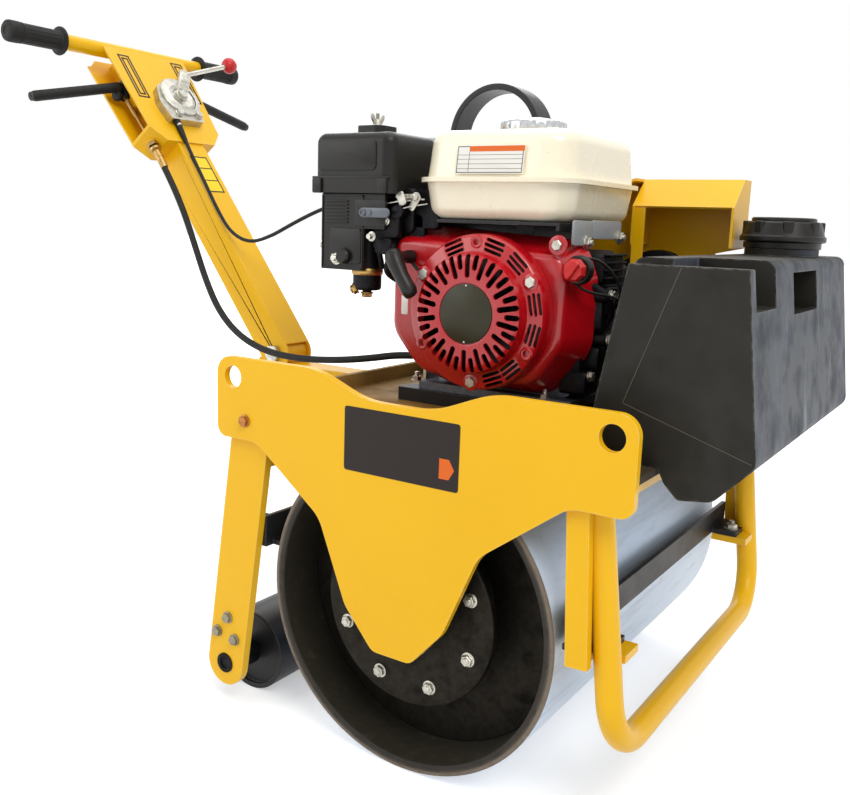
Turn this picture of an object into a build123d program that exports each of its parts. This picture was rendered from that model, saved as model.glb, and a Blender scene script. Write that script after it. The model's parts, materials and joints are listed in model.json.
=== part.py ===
"""Walk-behind vibratory roller: one driven drum in front, a small support roller behind.

Millimetres. +X is the front of the machine, +Y its left side, +Z up. Lengths along X in the tables
and planes below are counted from the drum axis. The row's origin is the middle of the bounding box,
on the floor, so every plane starts at DRUM_X.
"""

import os
from math import atan2, cos, degrees, pi, radians, sin, tan

from build123d import *

# ---- running gear
DRUM_R = 175.0
DRUM_W = 500.0
SHELL_T = 12.0
DRUM_END_T = 10.0
DRUM_END_IN = 58.0  # how far the end discs stand inside the rim
HUB_BOSS_R = 78.0
HUB_FLANGE_R = 104.0
HUB_FLANGE_T = 10.0
HUB_FLANGE_IN = 10.0  # flange face behind the rim
STUB_R = 22.0
STUB_FLANGE_R = 46.0
STUB_IN = 24.0  # shaft end beyond the hub flange
RUN_FIT = 0.05  # radial clearance of a shaft in its bore
ROLLER_R = 50.0
ROLLER_W = 432.0
ROLLER_WALL = 6.0
ROLLER_AXLE_R = 9.0
ROLLER_X = -246.0

# ---- frame
PLATE_GAP = 10.0  # drum rim to side plate
PLATE_T = 8.0
PLATE_HALF = 247.5
PLATE_RISE = 57.0  # plate top above the deck
DECK_GAP = 8.0  # drum to deck
DECK_T = 8.0
DECK_FRONT = 243.0
UPSTAND_X = -206.0
UPSTAND_H = 18.0
TIE_HOLE_R = 12.5
TIE_HOLE_X = 223.5
TIE_HOLE_DROP = 22.5  # hole centre below the plate top
LEG_W = 55.0
LEG_T = 10.0
LEG_TOP_X = -203.0
LEG_TOP_DROP = 13.0  # upper leg bolt below the deck top
CROSS_W = 50.0
CROSS_H = 60.0
CROSS_T = 5.0
CROSS_X = -215.0
FRONT_CROSS_X = 215.0
FRONT_CROSS_W = 30.0
FRONT_CROSS_H = 18.0
FRONT_CROSS_T = 4.0

# ---- engine
CRANK_X = 7.0
CRANK_RISE = 100.0  # crank axis above the engine base
RAIL_H = 16.0
RAIL_W = 30.0
RAIL_LEN = 239.0
RAIL_X = 2.5
BASE_T = 9.0
CASE_LEFT = 84.0  # engine faces along Y
CASE_RIGHT = -74.0
SHROUD_DEPTH = 46.0
RECOIL_R = 84.5
RING_DEPTH = 21.0
DOME_R = 64.5
RECOIL_DEPTH = 38.0
TANK_LEN = 216.0
TANK_W = 198.0
TANK_H = 96.0
FUEL_CAP_R = 38.0
CLEANER_W = 113.0
CLEANER_D = 98.0

# ---- drive, guard and lifting arch
CRANKSHAFT_R = 10.0
PUMP_SHAFT_R = 8.0
PUMP_X = 112.0
PUMP_Z = 507.0
DRIVE_PULLEY_R = 30.0
PUMP_PULLEY_R = 45.0
PULLEY_T = 20.0
PULLEY_Y = 114.0  # near face of the pulleys
BELT_W = 13.0
BELT_T = 8.0
BELT_SINK = 9.0  # groove depth
GUARD_Y = 157.0  # outside of the guard's back plate
GUARD_NEAR = 95.0
GUARD_TOP = 637.0
GUARD_END = 207.0
ARCH_X = -110.0
ARCH_R = 67.0
ARCH_TOP = 755.0
ARCH_W = 40.0
ARCH_T = 8.0
ARCH_Y = 90.0

# ---- water tank
WATER_NOSE = 330.0
NOSE_TRIM = 0.7  # lost by rounding the tank's nose
WATER_HALF_W = 210.0
WATER_WALL = 4.0
WATER_RISE = 186.0  # tank top above the deck
WATER_CAP_R = 47.0
WATER_CAP_H = 35.0
WATER_CAP_X = 257.0
WATER_CAP_Y = 120.0
NECK_R = 40.0
NECK_H = 8.0

# ---- handle
HANDLE_TILT = 52.6  # above the horizontal, leaning back
BEAM = 50.0
BEAM_T = 3.0
BEAM_LEN = 430.0
PIVOT_X = -384.0
PIVOT_RISE = 20.0  # above the deck top
PIVOT_R = 8.0
HEAD_TOP = 517.0  # along the beam, from the pivot
HEAD_BACK_TOP = 530.0  # the back plate stands higher, behind the bar
HEAD_BACK_CUT = 18.0
HEAD_CORNER = 372.0
HEAD_LOW = 350.0
HEAD_DEPTH = 47.0
HEAD_HALF_TOP = 76.0
HEAD_HALF_LOW = 67.0
HEAD_HALF_END = 46.0
SHEET_T = 3.0
BAR_R = 11.0
BAR_HALF = 207.0
BAR_SHIFT = -11.0  # the bar stands out further on the right
BAR_ALONG = 521.0
BAR_LIFT = 16.0  # bar axis above the beam's middle
GRIP_LEN = 80.0
GRIP_R = 13.5
GRIP_FLANGE_R = 19.7
LEVER_R = 6.0
LEVER_ALONG = 462.0  # lever shaft, along the beam
LEVER_LIFT = 10.0  # and above the beam's middle
LEVER_HALF = 205.0

# ---- cords
DRIVE_CABLE_D = 9.0
THROTTLE_CABLE_D = 5.0

# ---- places worked out from the sizes above
RIM = DRUM_W / 2
INNER = RIM + PLATE_GAP  # inside face of a side plate
OUTER = INNER + PLATE_T
LEG_IN = INNER - LEG_T
AXLE_Z = DRUM_R
DECK_LOW = 2 * DRUM_R + DECK_GAP
DECK_Z = DECK_LOW + DECK_T
PLATE_TOP = DECK_Z + PLATE_RISE
BASE_Z = DECK_Z + RAIL_H
CRANK_Z = BASE_Z + CRANK_RISE
SHROUD_FACE = CASE_RIGHT - SHROUD_DEPTH
TANK_LOW = CRANK_Z + 98.0
TILT = radians(HANDLE_TILT)
PIVOT_Z = DECK_Z + PIVOT_RISE
HEAD_FACE = BEAM / 2 + SHEET_T
HEAD_BACK = PIVOT_X - HEAD_BACK_TOP * cos(TILT) + (HEAD_FACE - HEAD_DEPTH) * sin(TILT)
DRUM_X = -(WATER_NOSE - NOSE_TRIM + HEAD_BACK) / 2

os.makedirs("parts", exist_ok=True)


def side(y):
    """Upright plane across the machine at y: local x forward, local y up, out towards -Y."""
    return Plane(origin=(DRUM_X, y, 0), x_dir=(1, 0, 0), z_dir=(0, -1, 0))


def level(z):
    """Flat plane at height z: local x forward, local y to the left."""
    return Plane(origin=(DRUM_X, 0, z), x_dir=(1, 0, 0), z_dir=(0, 0, 1))


def front(x):
    """Upright plane at x that looks forward: local x to the left, local y up."""
    return Plane(origin=(DRUM_X + x, 0, 0), x_dir=(0, 1, 0), z_dir=(1, 0, 0))


def along(depth):
    """Plane in the handle's slope, depth above the beam's middle: local y climbs from the pivot."""
    lift = (DRUM_X + PIVOT_X + depth * sin(TILT), 0, PIVOT_Z + depth * cos(TILT))
    return Plane(origin=lift, x_dir=(0, 1, 0), z_dir=(sin(TILT), 0, cos(TILT)))


def on_handle(across, climb, depth):
    """Point given by its place across the handle, up it, and above the beam's middle."""
    return along(depth).from_local_coords(Vector(across, climb, 0))


def at(x, y, z):
    """Point counted from the drum axis on the floor."""
    return Vector(DRUM_X + x, y, z)


def write(built, name):
    """Labels the finished piece and writes its STEP file."""
    built.part.label = name
    export_step(built.part, f"parts/{name}.step")


# ---------------------------------------------------------------- drum
with BuildPart() as drum_shell:
    with BuildSketch(side(0)):
        with Locations((0, AXLE_Z)):
            Circle(DRUM_R)
            Circle(DRUM_R - SHELL_T, mode=Mode.SUBTRACT)
    extrude(amount=RIM, both=True)
    chamfer(drum_shell.edges().filter_by(GeomType.CIRCLE), 1.5)
write(drum_shell, "drum_shell")

END_FACE = RIM - DRUM_END_IN
FLANGE_FACE = RIM - HUB_FLANGE_IN
FLANGE_BACK = FLANGE_FACE - HUB_FLANGE_T
with BuildPart() as drum_ends:
    with BuildSketch(side(-END_FACE)):
        with Locations((0, AXLE_Z)):
            Circle(DRUM_R - SHELL_T)
            Circle(STUB_FLANGE_R, mode=Mode.SUBTRACT)
    extrude(amount=-DRUM_END_T)
    with BuildSketch(side(-END_FACE)):
        with Locations((0, AXLE_Z)):
            Circle(HUB_BOSS_R)
            Circle(STUB_FLANGE_R, mode=Mode.SUBTRACT)
    extrude(amount=FLANGE_BACK - END_FACE)
    mirror(about=Plane.XZ)
write(drum_ends, "drum_ends")

with BuildPart() as hub_flanges:
    with BuildSketch(side(-FLANGE_BACK)):
        with Locations((0, AXLE_Z)):
            Circle(HUB_FLANGE_R)
            Circle(STUB_R + RUN_FIT, mode=Mode.SUBTRACT)
    extrude(amount=HUB_FLANGE_T)
    chamfer(hub_flanges.edges().filter_by(GeomType.CIRCLE).sort_by(SortBy.RADIUS)[-2:], 1.5)
    mirror(about=Plane.XZ)
write(hub_flanges, "hub_flanges")

with BuildPart() as stub_axles:
    with BuildSketch(side(-(INNER - 6.0))):
        with Locations((0, AXLE_Z)):
            Circle(STUB_FLANGE_R)
    extrude(amount=6.0)
    with BuildSketch(side(-(INNER - 6.0))):
        with Locations((0, AXLE_Z)):
            Circle(STUB_R)
    extrude(amount=-(INNER - 6.0 - FLANGE_BACK + STUB_IN))
    mirror(about=Plane.XZ)
write(stub_axles, "stub_axles")

# ---------------------------------------------------------------- frame plates
# x ahead of the drum axis, height, corner radius; the other half is its mirror image
PLATE_OUTLINE = [
    (24.0, AXLE_Z - 42.0, 14.0),
    (61.0, AXLE_Z, 40.0),
    (98.0, AXLE_Z + 89.0, 40.0),
    (188.0, DECK_Z - 35.0, 30.0),
    (PLATE_HALF, DECK_Z - 35.0, 13.0),
    (PLATE_HALF, PLATE_TOP, 20.0),
    (104.0, PLATE_TOP, 100.0),
    (40.0, PLATE_TOP - 25.0, 110.0),
]
BOTH_HALVES = PLATE_OUTLINE + [(-x, z, r) for x, z, r in reversed(PLATE_OUTLINE)]
for name, face in [("side_plate_right", -INNER), ("side_plate_left", OUTER)]:
    with BuildPart() as plate:
        with BuildSketch(side(face)):
            with BuildLine():
                FilletPolyline(
                    *[(x, z) for x, z, r in BOTH_HALVES],
                    radius=[r for x, z, r in BOTH_HALVES],
                    close=True,
                )
            make_face()
            with Locations(*[(x, PLATE_TOP - TIE_HOLE_DROP) for x in (-TIE_HOLE_X, TIE_HOLE_X)]):
                Circle(TIE_HOLE_R, mode=Mode.SUBTRACT)
        extrude(amount=PLATE_T)
    write(plate, name)

with BuildPart() as deck:
    with BuildSketch(level(DECK_LOW)):
        with Locations(((DECK_FRONT - PLATE_HALF) / 2, 0)):
            Rectangle(DECK_FRONT + PLATE_HALF, 2 * INNER)
        # the legs and the bumper straps pass the deck's edges
        for start, end in [(-PLATE_HALF, -165.0), (170.0, DECK_FRONT)]:
            with Locations(((start + end) / 2, -INNER + LEG_T / 2), ((start + end) / 2, INNER - LEG_T / 2)):
                Rectangle(end - start, LEG_T, mode=Mode.SUBTRACT)
    extrude(amount=DECK_T)
    with BuildSketch(level(DECK_Z)):
        with Locations((UPSTAND_X, 0)):
            Rectangle(DECK_T, 2 * (INNER - LEG_T))
    extrude(amount=UPSTAND_H)
write(deck, "deck")

# x ahead of the drum axis, width, height, wall, half length: box beams under the deck
BEAMS = [
    (CROSS_X, CROSS_W, CROSS_H, CROSS_T, LEG_IN),
    (FRONT_CROSS_X, FRONT_CROSS_W, FRONT_CROSS_H, FRONT_CROSS_T, LEG_IN - 28.0),
]
with BuildPart() as crossmembers:
    for x, width, height, wall, half in BEAMS:
        with BuildSketch(side(0)):
            with Locations((x, DECK_LOW - height / 2)):
                Rectangle(width, height)
                Rectangle(width - 2 * wall, height - 2 * wall, mode=Mode.SUBTRACT)
        extrude(amount=half, both=True)
write(crossmembers, "crossmembers")

# ---------------------------------------------------------------- support legs and roller
LEG_TOP_Z = DECK_Z - LEG_TOP_DROP
LEG_SLOPE = degrees(atan2(LEG_TOP_Z - ROLLER_R, LEG_TOP_X - ROLLER_X))
with BuildPart() as support_legs:
    with BuildSketch(side(-LEG_IN)):
        with BuildLine():
            spine = Line((ROLLER_X, ROLLER_R), (LEG_TOP_X, LEG_TOP_Z))
        with Locations(spine @ 0.5):
            SlotCenterToCenter(spine.length, LEG_W, rotation=LEG_SLOPE)
        with Locations((ROLLER_X, ROLLER_R)):
            Circle(ROLLER_AXLE_R, mode=Mode.SUBTRACT)
    extrude(amount=LEG_T)
    mirror(about=Plane.XZ)
write(support_legs, "support_legs")

with BuildPart() as support_roller:
    with BuildSketch(side(0)):
        with Locations((ROLLER_X, ROLLER_R)):
            Circle(ROLLER_R)
            Circle(ROLLER_R - ROLLER_WALL, mode=Mode.SUBTRACT)
    extrude(amount=ROLLER_W / 2, both=True)
    for face in (-ROLLER_W / 2 + 14.0, ROLLER_W / 2 - 6.0):
        with BuildSketch(side(face)):
            with Locations((ROLLER_X, ROLLER_R)):
                Circle(ROLLER_R - ROLLER_WALL)
                Circle(ROLLER_AXLE_R + RUN_FIT, mode=Mode.SUBTRACT)
        extrude(amount=8.0)
write(support_roller, "support_roller")

AXLE_END_R = 7.0  # recess in each end of the axle
AXLE_RING_R = 12.0
COLLAR_R = 16.0
COLLAR_GAP = 1.0
with BuildPart() as roller_axle:
    with BuildSketch(side(0)):
        with Locations((ROLLER_X, ROLLER_R)):
            Circle(ROLLER_AXLE_R)
    extrude(amount=INNER, both=True)
    with BuildSketch(side(-INNER)):
        with Locations((ROLLER_X, ROLLER_R)):
            Circle(AXLE_RING_R)
    extrude(amount=1.5)
    with BuildSketch(side(-INNER - 1.5)):
        with Locations((ROLLER_X, ROLLER_R)):
            Circle(AXLE_END_R)
    extrude(amount=-14.0, mode=Mode.SUBTRACT)
    with BuildSketch(side(-ROLLER_W / 2 - COLLAR_GAP)):
        with Locations((ROLLER_X, ROLLER_R)):
            Circle(COLLAR_R)
    extrude(amount=LEG_IN - ROLLER_W / 2 - COLLAR_GAP)
    mirror(about=Plane.XZ)
write(roller_axle, "roller_axle")

# ---------------------------------------------------------------- bumper and scrapers
STRAP_W = 22.0
STRAP_TOP = (192.0, DECK_LOW - 6.0)
STRAP_FOOT = (201.0, AXLE_Z + 4.0)
STRAP_LEAN = degrees(atan2(STRAP_FOOT[0] - STRAP_TOP[0], STRAP_TOP[1] - STRAP_FOOT[1]))
TAB_T = 8.0
TAB_Z = AXLE_Z + 4.0
# x, how far inside the leg's inner face: the tab passes behind the bumper tube
TAB_OUTLINE = [(190.0, 0.0), (206.0, 0.0), (206.0, 27.5), (234.0, 27.5), (234.0, 60.0), (190.0, 60.0)]
with BuildPart() as scraper_straps:
    with BuildSketch(side(-LEG_IN)):
        middle = ((STRAP_TOP[0] + STRAP_FOOT[0]) / 2, (STRAP_TOP[1] + STRAP_FOOT[1]) / 2)
        with Locations(middle):
            Rectangle(STRAP_W, STRAP_TOP[1] - STRAP_FOOT[1], rotation=STRAP_LEAN)
    extrude(amount=LEG_T)
    with BuildSketch(level(TAB_Z)):
        Polygon(*[(x, depth - LEG_IN) for x, depth in TAB_OUTLINE], align=None)
    extrude(amount=TAB_T)
    mirror(about=Plane.XZ)
write(scraper_straps, "scraper_straps")

SCRAPER_T = 6.0
SCRAPER_CLEAR = 5.3
SCRAPER_LOW = TAB_Z + TAB_T
SCRAPER_EDGE = (DRUM_R**2 - (SCRAPER_LOW - AXLE_Z) ** 2) ** 0.5 + SCRAPER_CLEAR
SCRAPER_BACK = 184.0
SCRAPER_HALF = LEG_IN - 4.0
# x, how far inside the leg's inner face
EAR_OUTLINE = [(184.0, 4.0), (206.0, 4.0), (206.0, 27.5), (221.0, 27.5), (221.0, 58.0), (184.0, 58.0)]
with BuildPart() as front_scraper:
    with BuildSketch(level(SCRAPER_LOW)):
        with Locations(((SCRAPER_EDGE + SCRAPER_BACK + SCRAPER_T) / 2, 0)):
            Rectangle(SCRAPER_BACK + SCRAPER_T - SCRAPER_EDGE, 2 * SCRAPER_HALF)
        for end in (-1, 1):
            Polygon(*[(x, end * (LEG_IN - depth)) for x, depth in EAR_OUTLINE], align=None)
    extrude(amount=SCRAPER_T)
    with BuildSketch(level(SCRAPER_LOW)):
        with Locations((SCRAPER_BACK + SCRAPER_T / 2, 0)):
            Rectangle(SCRAPER_T, 2 * SCRAPER_HALF)
    extrude(amount=30.0)
write(front_scraper, "front_scraper")

REAR_SCRAPER_Z = AXLE_Z + 30.0
REAR_EDGE = (DRUM_R**2 - (REAR_SCRAPER_Z - AXLE_Z) ** 2) ** 0.5 + SCRAPER_CLEAR
REAR_BACK = 190.0
with BuildPart() as rear_scraper:
    with BuildSketch(side(0)):
        with Locations((-(REAR_BACK + SCRAPER_T / 2), REAR_SCRAPER_Z + 18.0)):
            Rectangle(SCRAPER_T, 36.0)
        with Locations((-(REAR_EDGE + REAR_BACK) / 2, REAR_SCRAPER_Z + SCRAPER_T / 2)):
            Rectangle(REAR_BACK - REAR_EDGE, SCRAPER_T)
    extrude(amount=LEG_IN - 12.0, both=True)
    with BuildSketch(side(-(LEG_IN - 12.0))):
        with Locations((-204.0, REAR_SCRAPER_Z + 18.0)):
            Rectangle(28.0, 36.0)
    extrude(amount=12.0)
    mirror(about=Plane.XZ)
write(rear_scraper, "rear_scraper")

BUMPER_R = 13.0
BUMPER_Y = LEG_IN - BUMPER_R - 0.2
BUMPER_BEND = 58.0
BUMPER_TOP = (201.5, DECK_LOW - 4.0)
BUMPER_LOW = (234.0, 89.0)
with BuildPart() as front_bumper:
    with BuildLine() as loop:
        FilletPolyline(
            at(BUMPER_TOP[0], -BUMPER_Y, BUMPER_TOP[1]),
            at(BUMPER_LOW[0], -BUMPER_Y, BUMPER_LOW[1]),
            at(BUMPER_LOW[0], BUMPER_Y, BUMPER_LOW[1]),
            at(BUMPER_TOP[0], BUMPER_Y, BUMPER_TOP[1]),
            radius=BUMPER_BEND,
        )
    with BuildSketch(Plane(origin=loop.line @ 0, z_dir=loop.line % 0)):
        Circle(BUMPER_R)
    sweep()
write(front_bumper, "front_bumper")

# ---------------------------------------------------------------- engine
with BuildPart() as engine_rails:
    with BuildSketch(level(DECK_Z)):
        with Locations((RAIL_X, -85.0), (RAIL_X, 60.0)):
            Rectangle(RAIL_LEN, RAIL_W)
    extrude(amount=RAIL_H)
write(engine_rails, "engine_rails")

with BuildPart() as engine_block:
    with BuildSketch(level(BASE_Z)):
        with Locations((CRANK_X, (CASE_LEFT - 94.0) / 2)):
            Rectangle(196.0, CASE_LEFT + 94.0)
    extrude(amount=BASE_T)
    with BuildSketch(side(CASE_LEFT)):
        with BuildLine():
            FilletPolyline(
                (CRANK_X - 80.0, BASE_Z + BASE_T),
                (CRANK_X + 90.0, BASE_Z + BASE_T),
                (CRANK_X + 90.0, CRANK_Z + 40.0),
                (CRANK_X + 60.0, TANK_LOW - 30.0),
                (CRANK_X - 80.0, TANK_LOW - 30.0),
                radius=12.0,
                close=True,
            )
        make_face()
    extrude(amount=CASE_LEFT - CASE_RIGHT)
    for radius, reach in [(30.0, CASE_LEFT + 6.0), (CRANKSHAFT_R, PULLEY_Y + PULLEY_T + 6.0)]:
        with BuildSketch(side(reach)):
            with Locations((CRANK_X, CRANK_Z)):
                Circle(radius)
        extrude(amount=reach - CASE_LEFT)
write(engine_block, "engine_block")

HEAD_TILT = 25.0
FIN_COUNT = 7
FIN_PITCH = 11.0
FIN_T = 4.0
CYL_ROOT = 84.0
cylinder_plane = Plane(
    origin=at(CRANK_X - 6.0, 10.0, CRANK_Z + 8.0),
    x_dir=(0, 1, 0),
    z_dir=(-cos(radians(HEAD_TILT)), 0, sin(radians(HEAD_TILT))),
)
with BuildPart() as cylinder:
    with BuildSketch(cylinder_plane.offset(CYL_ROOT)):
        Rectangle(84.0, 70.0)
    extrude(amount=FIN_COUNT * FIN_PITCH)
    for fin in range(FIN_COUNT):
        with BuildSketch(cylinder_plane.offset(CYL_ROOT + 4.0 + fin * FIN_PITCH)):
            RectangleRounded(112.0, 96.0, 8.0)
        extrude(amount=FIN_T)
    with BuildSketch(cylinder_plane.offset(CYL_ROOT + FIN_COUNT * FIN_PITCH)):
        RectangleRounded(88.0, 72.0, 12.0)
    extrude(amount=26.0)
    split(bisect_by=front(CRANK_X - 80.0), keep=Keep.BOTTOM)
write(cylinder, "cylinder")

# the shroud's back edge, x from the crank, height from the crank, corner radius
SHROUD_OUTLINE = [
    (-136.0, 93.0, 30.0),
    (96.0, 80.0, 30.0),
    (112.0, 40.0, 30.0),
    (110.0, -36.0, 50.0),
    (70.0, -90.0, 50.0),
    (-88.0, -91.0, 58.0),
    (-137.0, -36.0, 50.0),
]
with BuildPart() as fan_shroud:
    with BuildSketch(side(CASE_RIGHT)):
        with BuildLine():
            FilletPolyline(
                *[(CRANK_X + x, CRANK_Z + z) for x, z, r in SHROUD_OUTLINE],
                radius=[r for x, z, r in SHROUD_OUTLINE],
                close=True,
            )
        make_face()
    extrude(amount=SHROUD_DEPTH, taper=20)
    fillet(fan_shroud.faces().sort_by(Axis.Y)[0].edges(), 9.0)
write(fan_shroud, "fan_shroud")

SLOT_COUNT = 18
RECOIL_SLOT_W = 6.0
# radius, height from the shroud: the slotted ring, then the dome on it
RECOIL_STEPS = [(RECOIL_R, 0.0, RING_DEPTH), (DOME_R, RING_DEPTH, RECOIL_DEPTH)]
with BuildPart() as recoil_starter:
    for radius, start, stop in RECOIL_STEPS:
        with BuildSketch(side(SHROUD_FACE - start)):
            with Locations((CRANK_X, CRANK_Z)):
                Circle(radius)
        extrude(amount=stop - start)
        fillet(recoil_starter.faces().sort_by(Axis.Y)[0].edges(), 4.0)
    with BuildSketch(side(SHROUD_FACE - RECOIL_DEPTH)):
        with Locations((CRANK_X, CRANK_Z)):
            with PolarLocations(DOME_R * 0.78, SLOT_COUNT):
                SlotOverall(DOME_R * 0.36, RECOIL_SLOT_W)
    extrude(amount=-8.0, mode=Mode.SUBTRACT)
write(recoil_starter, "recoil_starter")

GRIP_X = CRANK_X - 86.0
GRIP_Z = CRANK_Z + 37.0
GRIP_STEM = (CRANK_X - 96.0, CRANK_Z + 55.0)
GRIP_STAND = 33.0  # starter grip's bar to the shroud
with BuildPart() as starter_grip:
    with BuildSketch(side(SHROUD_FACE - GRIP_STAND)):
        with Locations((GRIP_X, GRIP_Z)):
            SlotOverall(62.0, 17.0, rotation=-54.0)
    extrude(amount=16.0)
    fillet(starter_grip.faces().sort_by(Axis.Y)[0].edges(), 5.0)
    with BuildSketch(side(SHROUD_FACE)):
        with Locations(GRIP_STEM):
            Circle(7.0)
    extrude(amount=GRIP_STAND + 3.0)
write(starter_grip, "starter_grip")

# ---------------------------------------------------------------- fuel tank
TANK_FAR = 87.0  # far side, clear of the lifting arch
TANK_X = 7.0
TANK_Y = TANK_FAR - TANK_LEN / 2
FUEL_CAP_X = 3.0
FUEL_CAP_Y = -16.0
FUEL_NECK_H = 5.0
SEAM_RISE = 40.0  # seam above the tank's lowest point
SEAM_OUT = 6.0
SEAM_T = 5.0
with BuildPart() as fuel_tank:
    # the two halves narrow away from the seam
    for height, lean in [(TANK_H - SEAM_RISE, 7), (-SEAM_RISE, 9)]:
        with BuildSketch(level(TANK_LOW + SEAM_RISE)):
            with Locations((TANK_X, TANK_Y)):
                RectangleRounded(TANK_W - 2 * SEAM_OUT, TANK_LEN - 2 * SEAM_OUT, 36.0)
        extrude(amount=height, taper=lean)
    fillet(fuel_tank.faces().sort_by(Axis.Z)[-1].edges(), 17.0)
    fillet(fuel_tank.faces().sort_by(Axis.Z)[0].edges(), 17.0)
    with BuildSketch(level(TANK_LOW + SEAM_RISE)):
        with Locations((TANK_X, TANK_Y)):
            RectangleRounded(TANK_W, TANK_LEN, 40.0)
    extrude(amount=SEAM_T)
    with BuildSketch(level(TANK_LOW + TANK_H)):
        with Locations((FUEL_CAP_X, FUEL_CAP_Y)):
            Circle(FUEL_CAP_R - 6.0)
    extrude(amount=FUEL_NECK_H)
write(fuel_tank, "fuel_tank")

with BuildPart() as fuel_cap:
    with BuildSketch(level(TANK_LOW + TANK_H + FUEL_NECK_H)):
        with Locations((FUEL_CAP_X, FUEL_CAP_Y)):
            Circle(FUEL_CAP_R)
    extrude(amount=16.0)
    fillet(fuel_cap.faces().sort_by(Axis.Z)[-1].edges(), 6.0)
write(fuel_cap, "fuel_cap")

BRACKET_T = 4.0
with BuildPart() as tank_bracket:
    for across in (-96.0, 40.0):
        with BuildSketch(level(TANK_LOW - BRACKET_T)):
            with Locations((TANK_X + 6.0, across)):
                Rectangle(150.0, 36.0)
        extrude(amount=BRACKET_T)
    with BuildSketch(front(CRANK_X + 78.0)):
        with Locations((-38.0, TANK_LOW - 4.5)):
            Rectangle(152.0, 9.0)
    extrude(amount=BRACKET_T)
    with BuildSketch(level(TANK_LOW - 30.0)):
        with Locations((CRANK_X + 20.0, 40.0), (CRANK_X - 40.0, 40.0), (CRANK_X + 20.0, -60.0)):
            Rectangle(22.0, 22.0)
    extrude(amount=30.0 - BRACKET_T)
    with BuildSketch(level(TANK_LOW - BRACKET_T)):
        with Locations((CRANK_X + 20.0, -50.0)):
            Rectangle(30.0, 130.0)
    extrude(amount=BRACKET_T)
write(tank_bracket, "tank_bracket")

# ---------------------------------------------------------------- intake and exhaust
CLEANER_FRONT = -107.0
CLEANER_NEAR = -140.0
CLEANER_LOW = CRANK_Z + 124.0
CLEANER_H = 68.0
CLEANER_X = CLEANER_FRONT - CLEANER_W / 2
CLEANER_Y = CLEANER_NEAR + CLEANER_D / 2
with BuildPart() as air_cleaner:
    with BuildSketch(level(CLEANER_LOW)):
        with Locations((CLEANER_X, CLEANER_Y)):
            RectangleRounded(CLEANER_W, CLEANER_D, 14.0)
    extrude(amount=CLEANER_H)
    fillet(air_cleaner.faces().sort_by(Axis.Z)[-1].edges(), 12.0)
    with BuildSketch(level(CLEANER_LOW)):
        with Locations((CLEANER_X, CLEANER_Y)):
            RectangleRounded(CLEANER_W + 5.0, CLEANER_D + 5.0, 16.0)
    extrude(amount=16.0)
    with BuildSketch(level(CLEANER_LOW + CLEANER_H)):
        with Locations((CLEANER_X, CLEANER_Y)):
            RectangleRounded(38.0, 38.0, 10.0)
    extrude(amount=10.0)
write(air_cleaner, "air_cleaner")

# x, height: the cover steps back where the shroud stands in front of it
COVER_OUTLINE = [
    (-209.0, CLEANER_LOW - 88.0),
    (-146.0, CLEANER_LOW - 88.0),
    (-146.0, CLEANER_LOW - 40.0),
    (-117.0, CLEANER_LOW - 40.0),
    (-117.0, CLEANER_LOW),
    (-209.0, CLEANER_LOW),
]
COVER_NEAR = CLEANER_NEAR + 4.0
COVER_DEPTH = 60.0
COVER_WALL = 6.0
with BuildPart() as intake_cover:
    with BuildSketch(side(COVER_NEAR)):
        Polygon(*COVER_OUTLINE, align=None)
    extrude(amount=-COVER_DEPTH)
    with BuildSketch(side(COVER_NEAR + COVER_WALL)):
        with Locations((-209.0 + COVER_WALL, CLEANER_LOW - 88.0)):
            Rectangle(100.0, 88.0 - COVER_WALL, align=(Align.MIN, Align.MIN))
    extrude(amount=-COVER_DEPTH, mode=Mode.SUBTRACT)
write(intake_cover, "intake_cover")

BOWL_X = -163.0
BOWL_Y = -105.0
HEAD_SIDE = -34.0  # near side of the cylinder head
with BuildPart() as carburetor:
    with BuildSketch(side(HEAD_SIDE)):
        with Locations((-160.0, CRANK_Z + 82.0)):
            Rectangle(24.0, 24.0)
    extrude(amount=78.0)
    with BuildSketch(level(CRANK_Z + 12.0)):
        with Locations((BOWL_X, BOWL_Y)):
            Circle(17.0)
    extrude(amount=60.0)
    fillet(carburetor.faces().sort_by(Axis.Z)[0].edges(), 4.0)
    with BuildSketch(level(CRANK_Z + 6.0)):
        with Locations((BOWL_X, BOWL_Y)):
            RegularPolygon(6.0, 6)
    extrude(amount=6.0)
    with BuildSketch(level(CRANK_Z + 94.0)):
        with Locations((-160.0, -95.0)):
            Circle(14.0)
    extrude(amount=CLEANER_LOW - COVER_WALL - CRANK_Z - 94.0)
write(carburetor, "carburetor")

MUFFLER_X = -146.0
with BuildPart() as muffler:
    with BuildSketch(level(CRANK_Z + 130.0)):
        with Locations((MUFFLER_X, 24.0)):
            RectangleRounded(104.0, 112.0, 20.0)
    extrude(amount=66.0)
    fillet(muffler.faces().sort_by(Axis.Z)[-1].edges(), 14.0)
    with BuildSketch(level(CRANK_Z + 112.0)):
        with Locations((MUFFLER_X + 6.0, 24.0)):
            Circle(12.0)
    extrude(amount=18.0)
    add(cylinder.part, mode=Mode.SUBTRACT)
write(muffler, "muffler")

with BuildPart() as engine_switch:
    with BuildSketch(side(-94.0)):
        with Locations((CRANK_X + 108.0, CRANK_Z + 50.0)):
            Rectangle(26.0, 26.0)
    extrude(amount=26.0)
    add(fan_shroud.part, mode=Mode.SUBTRACT)
write(engine_switch, "engine_switch")

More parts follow.
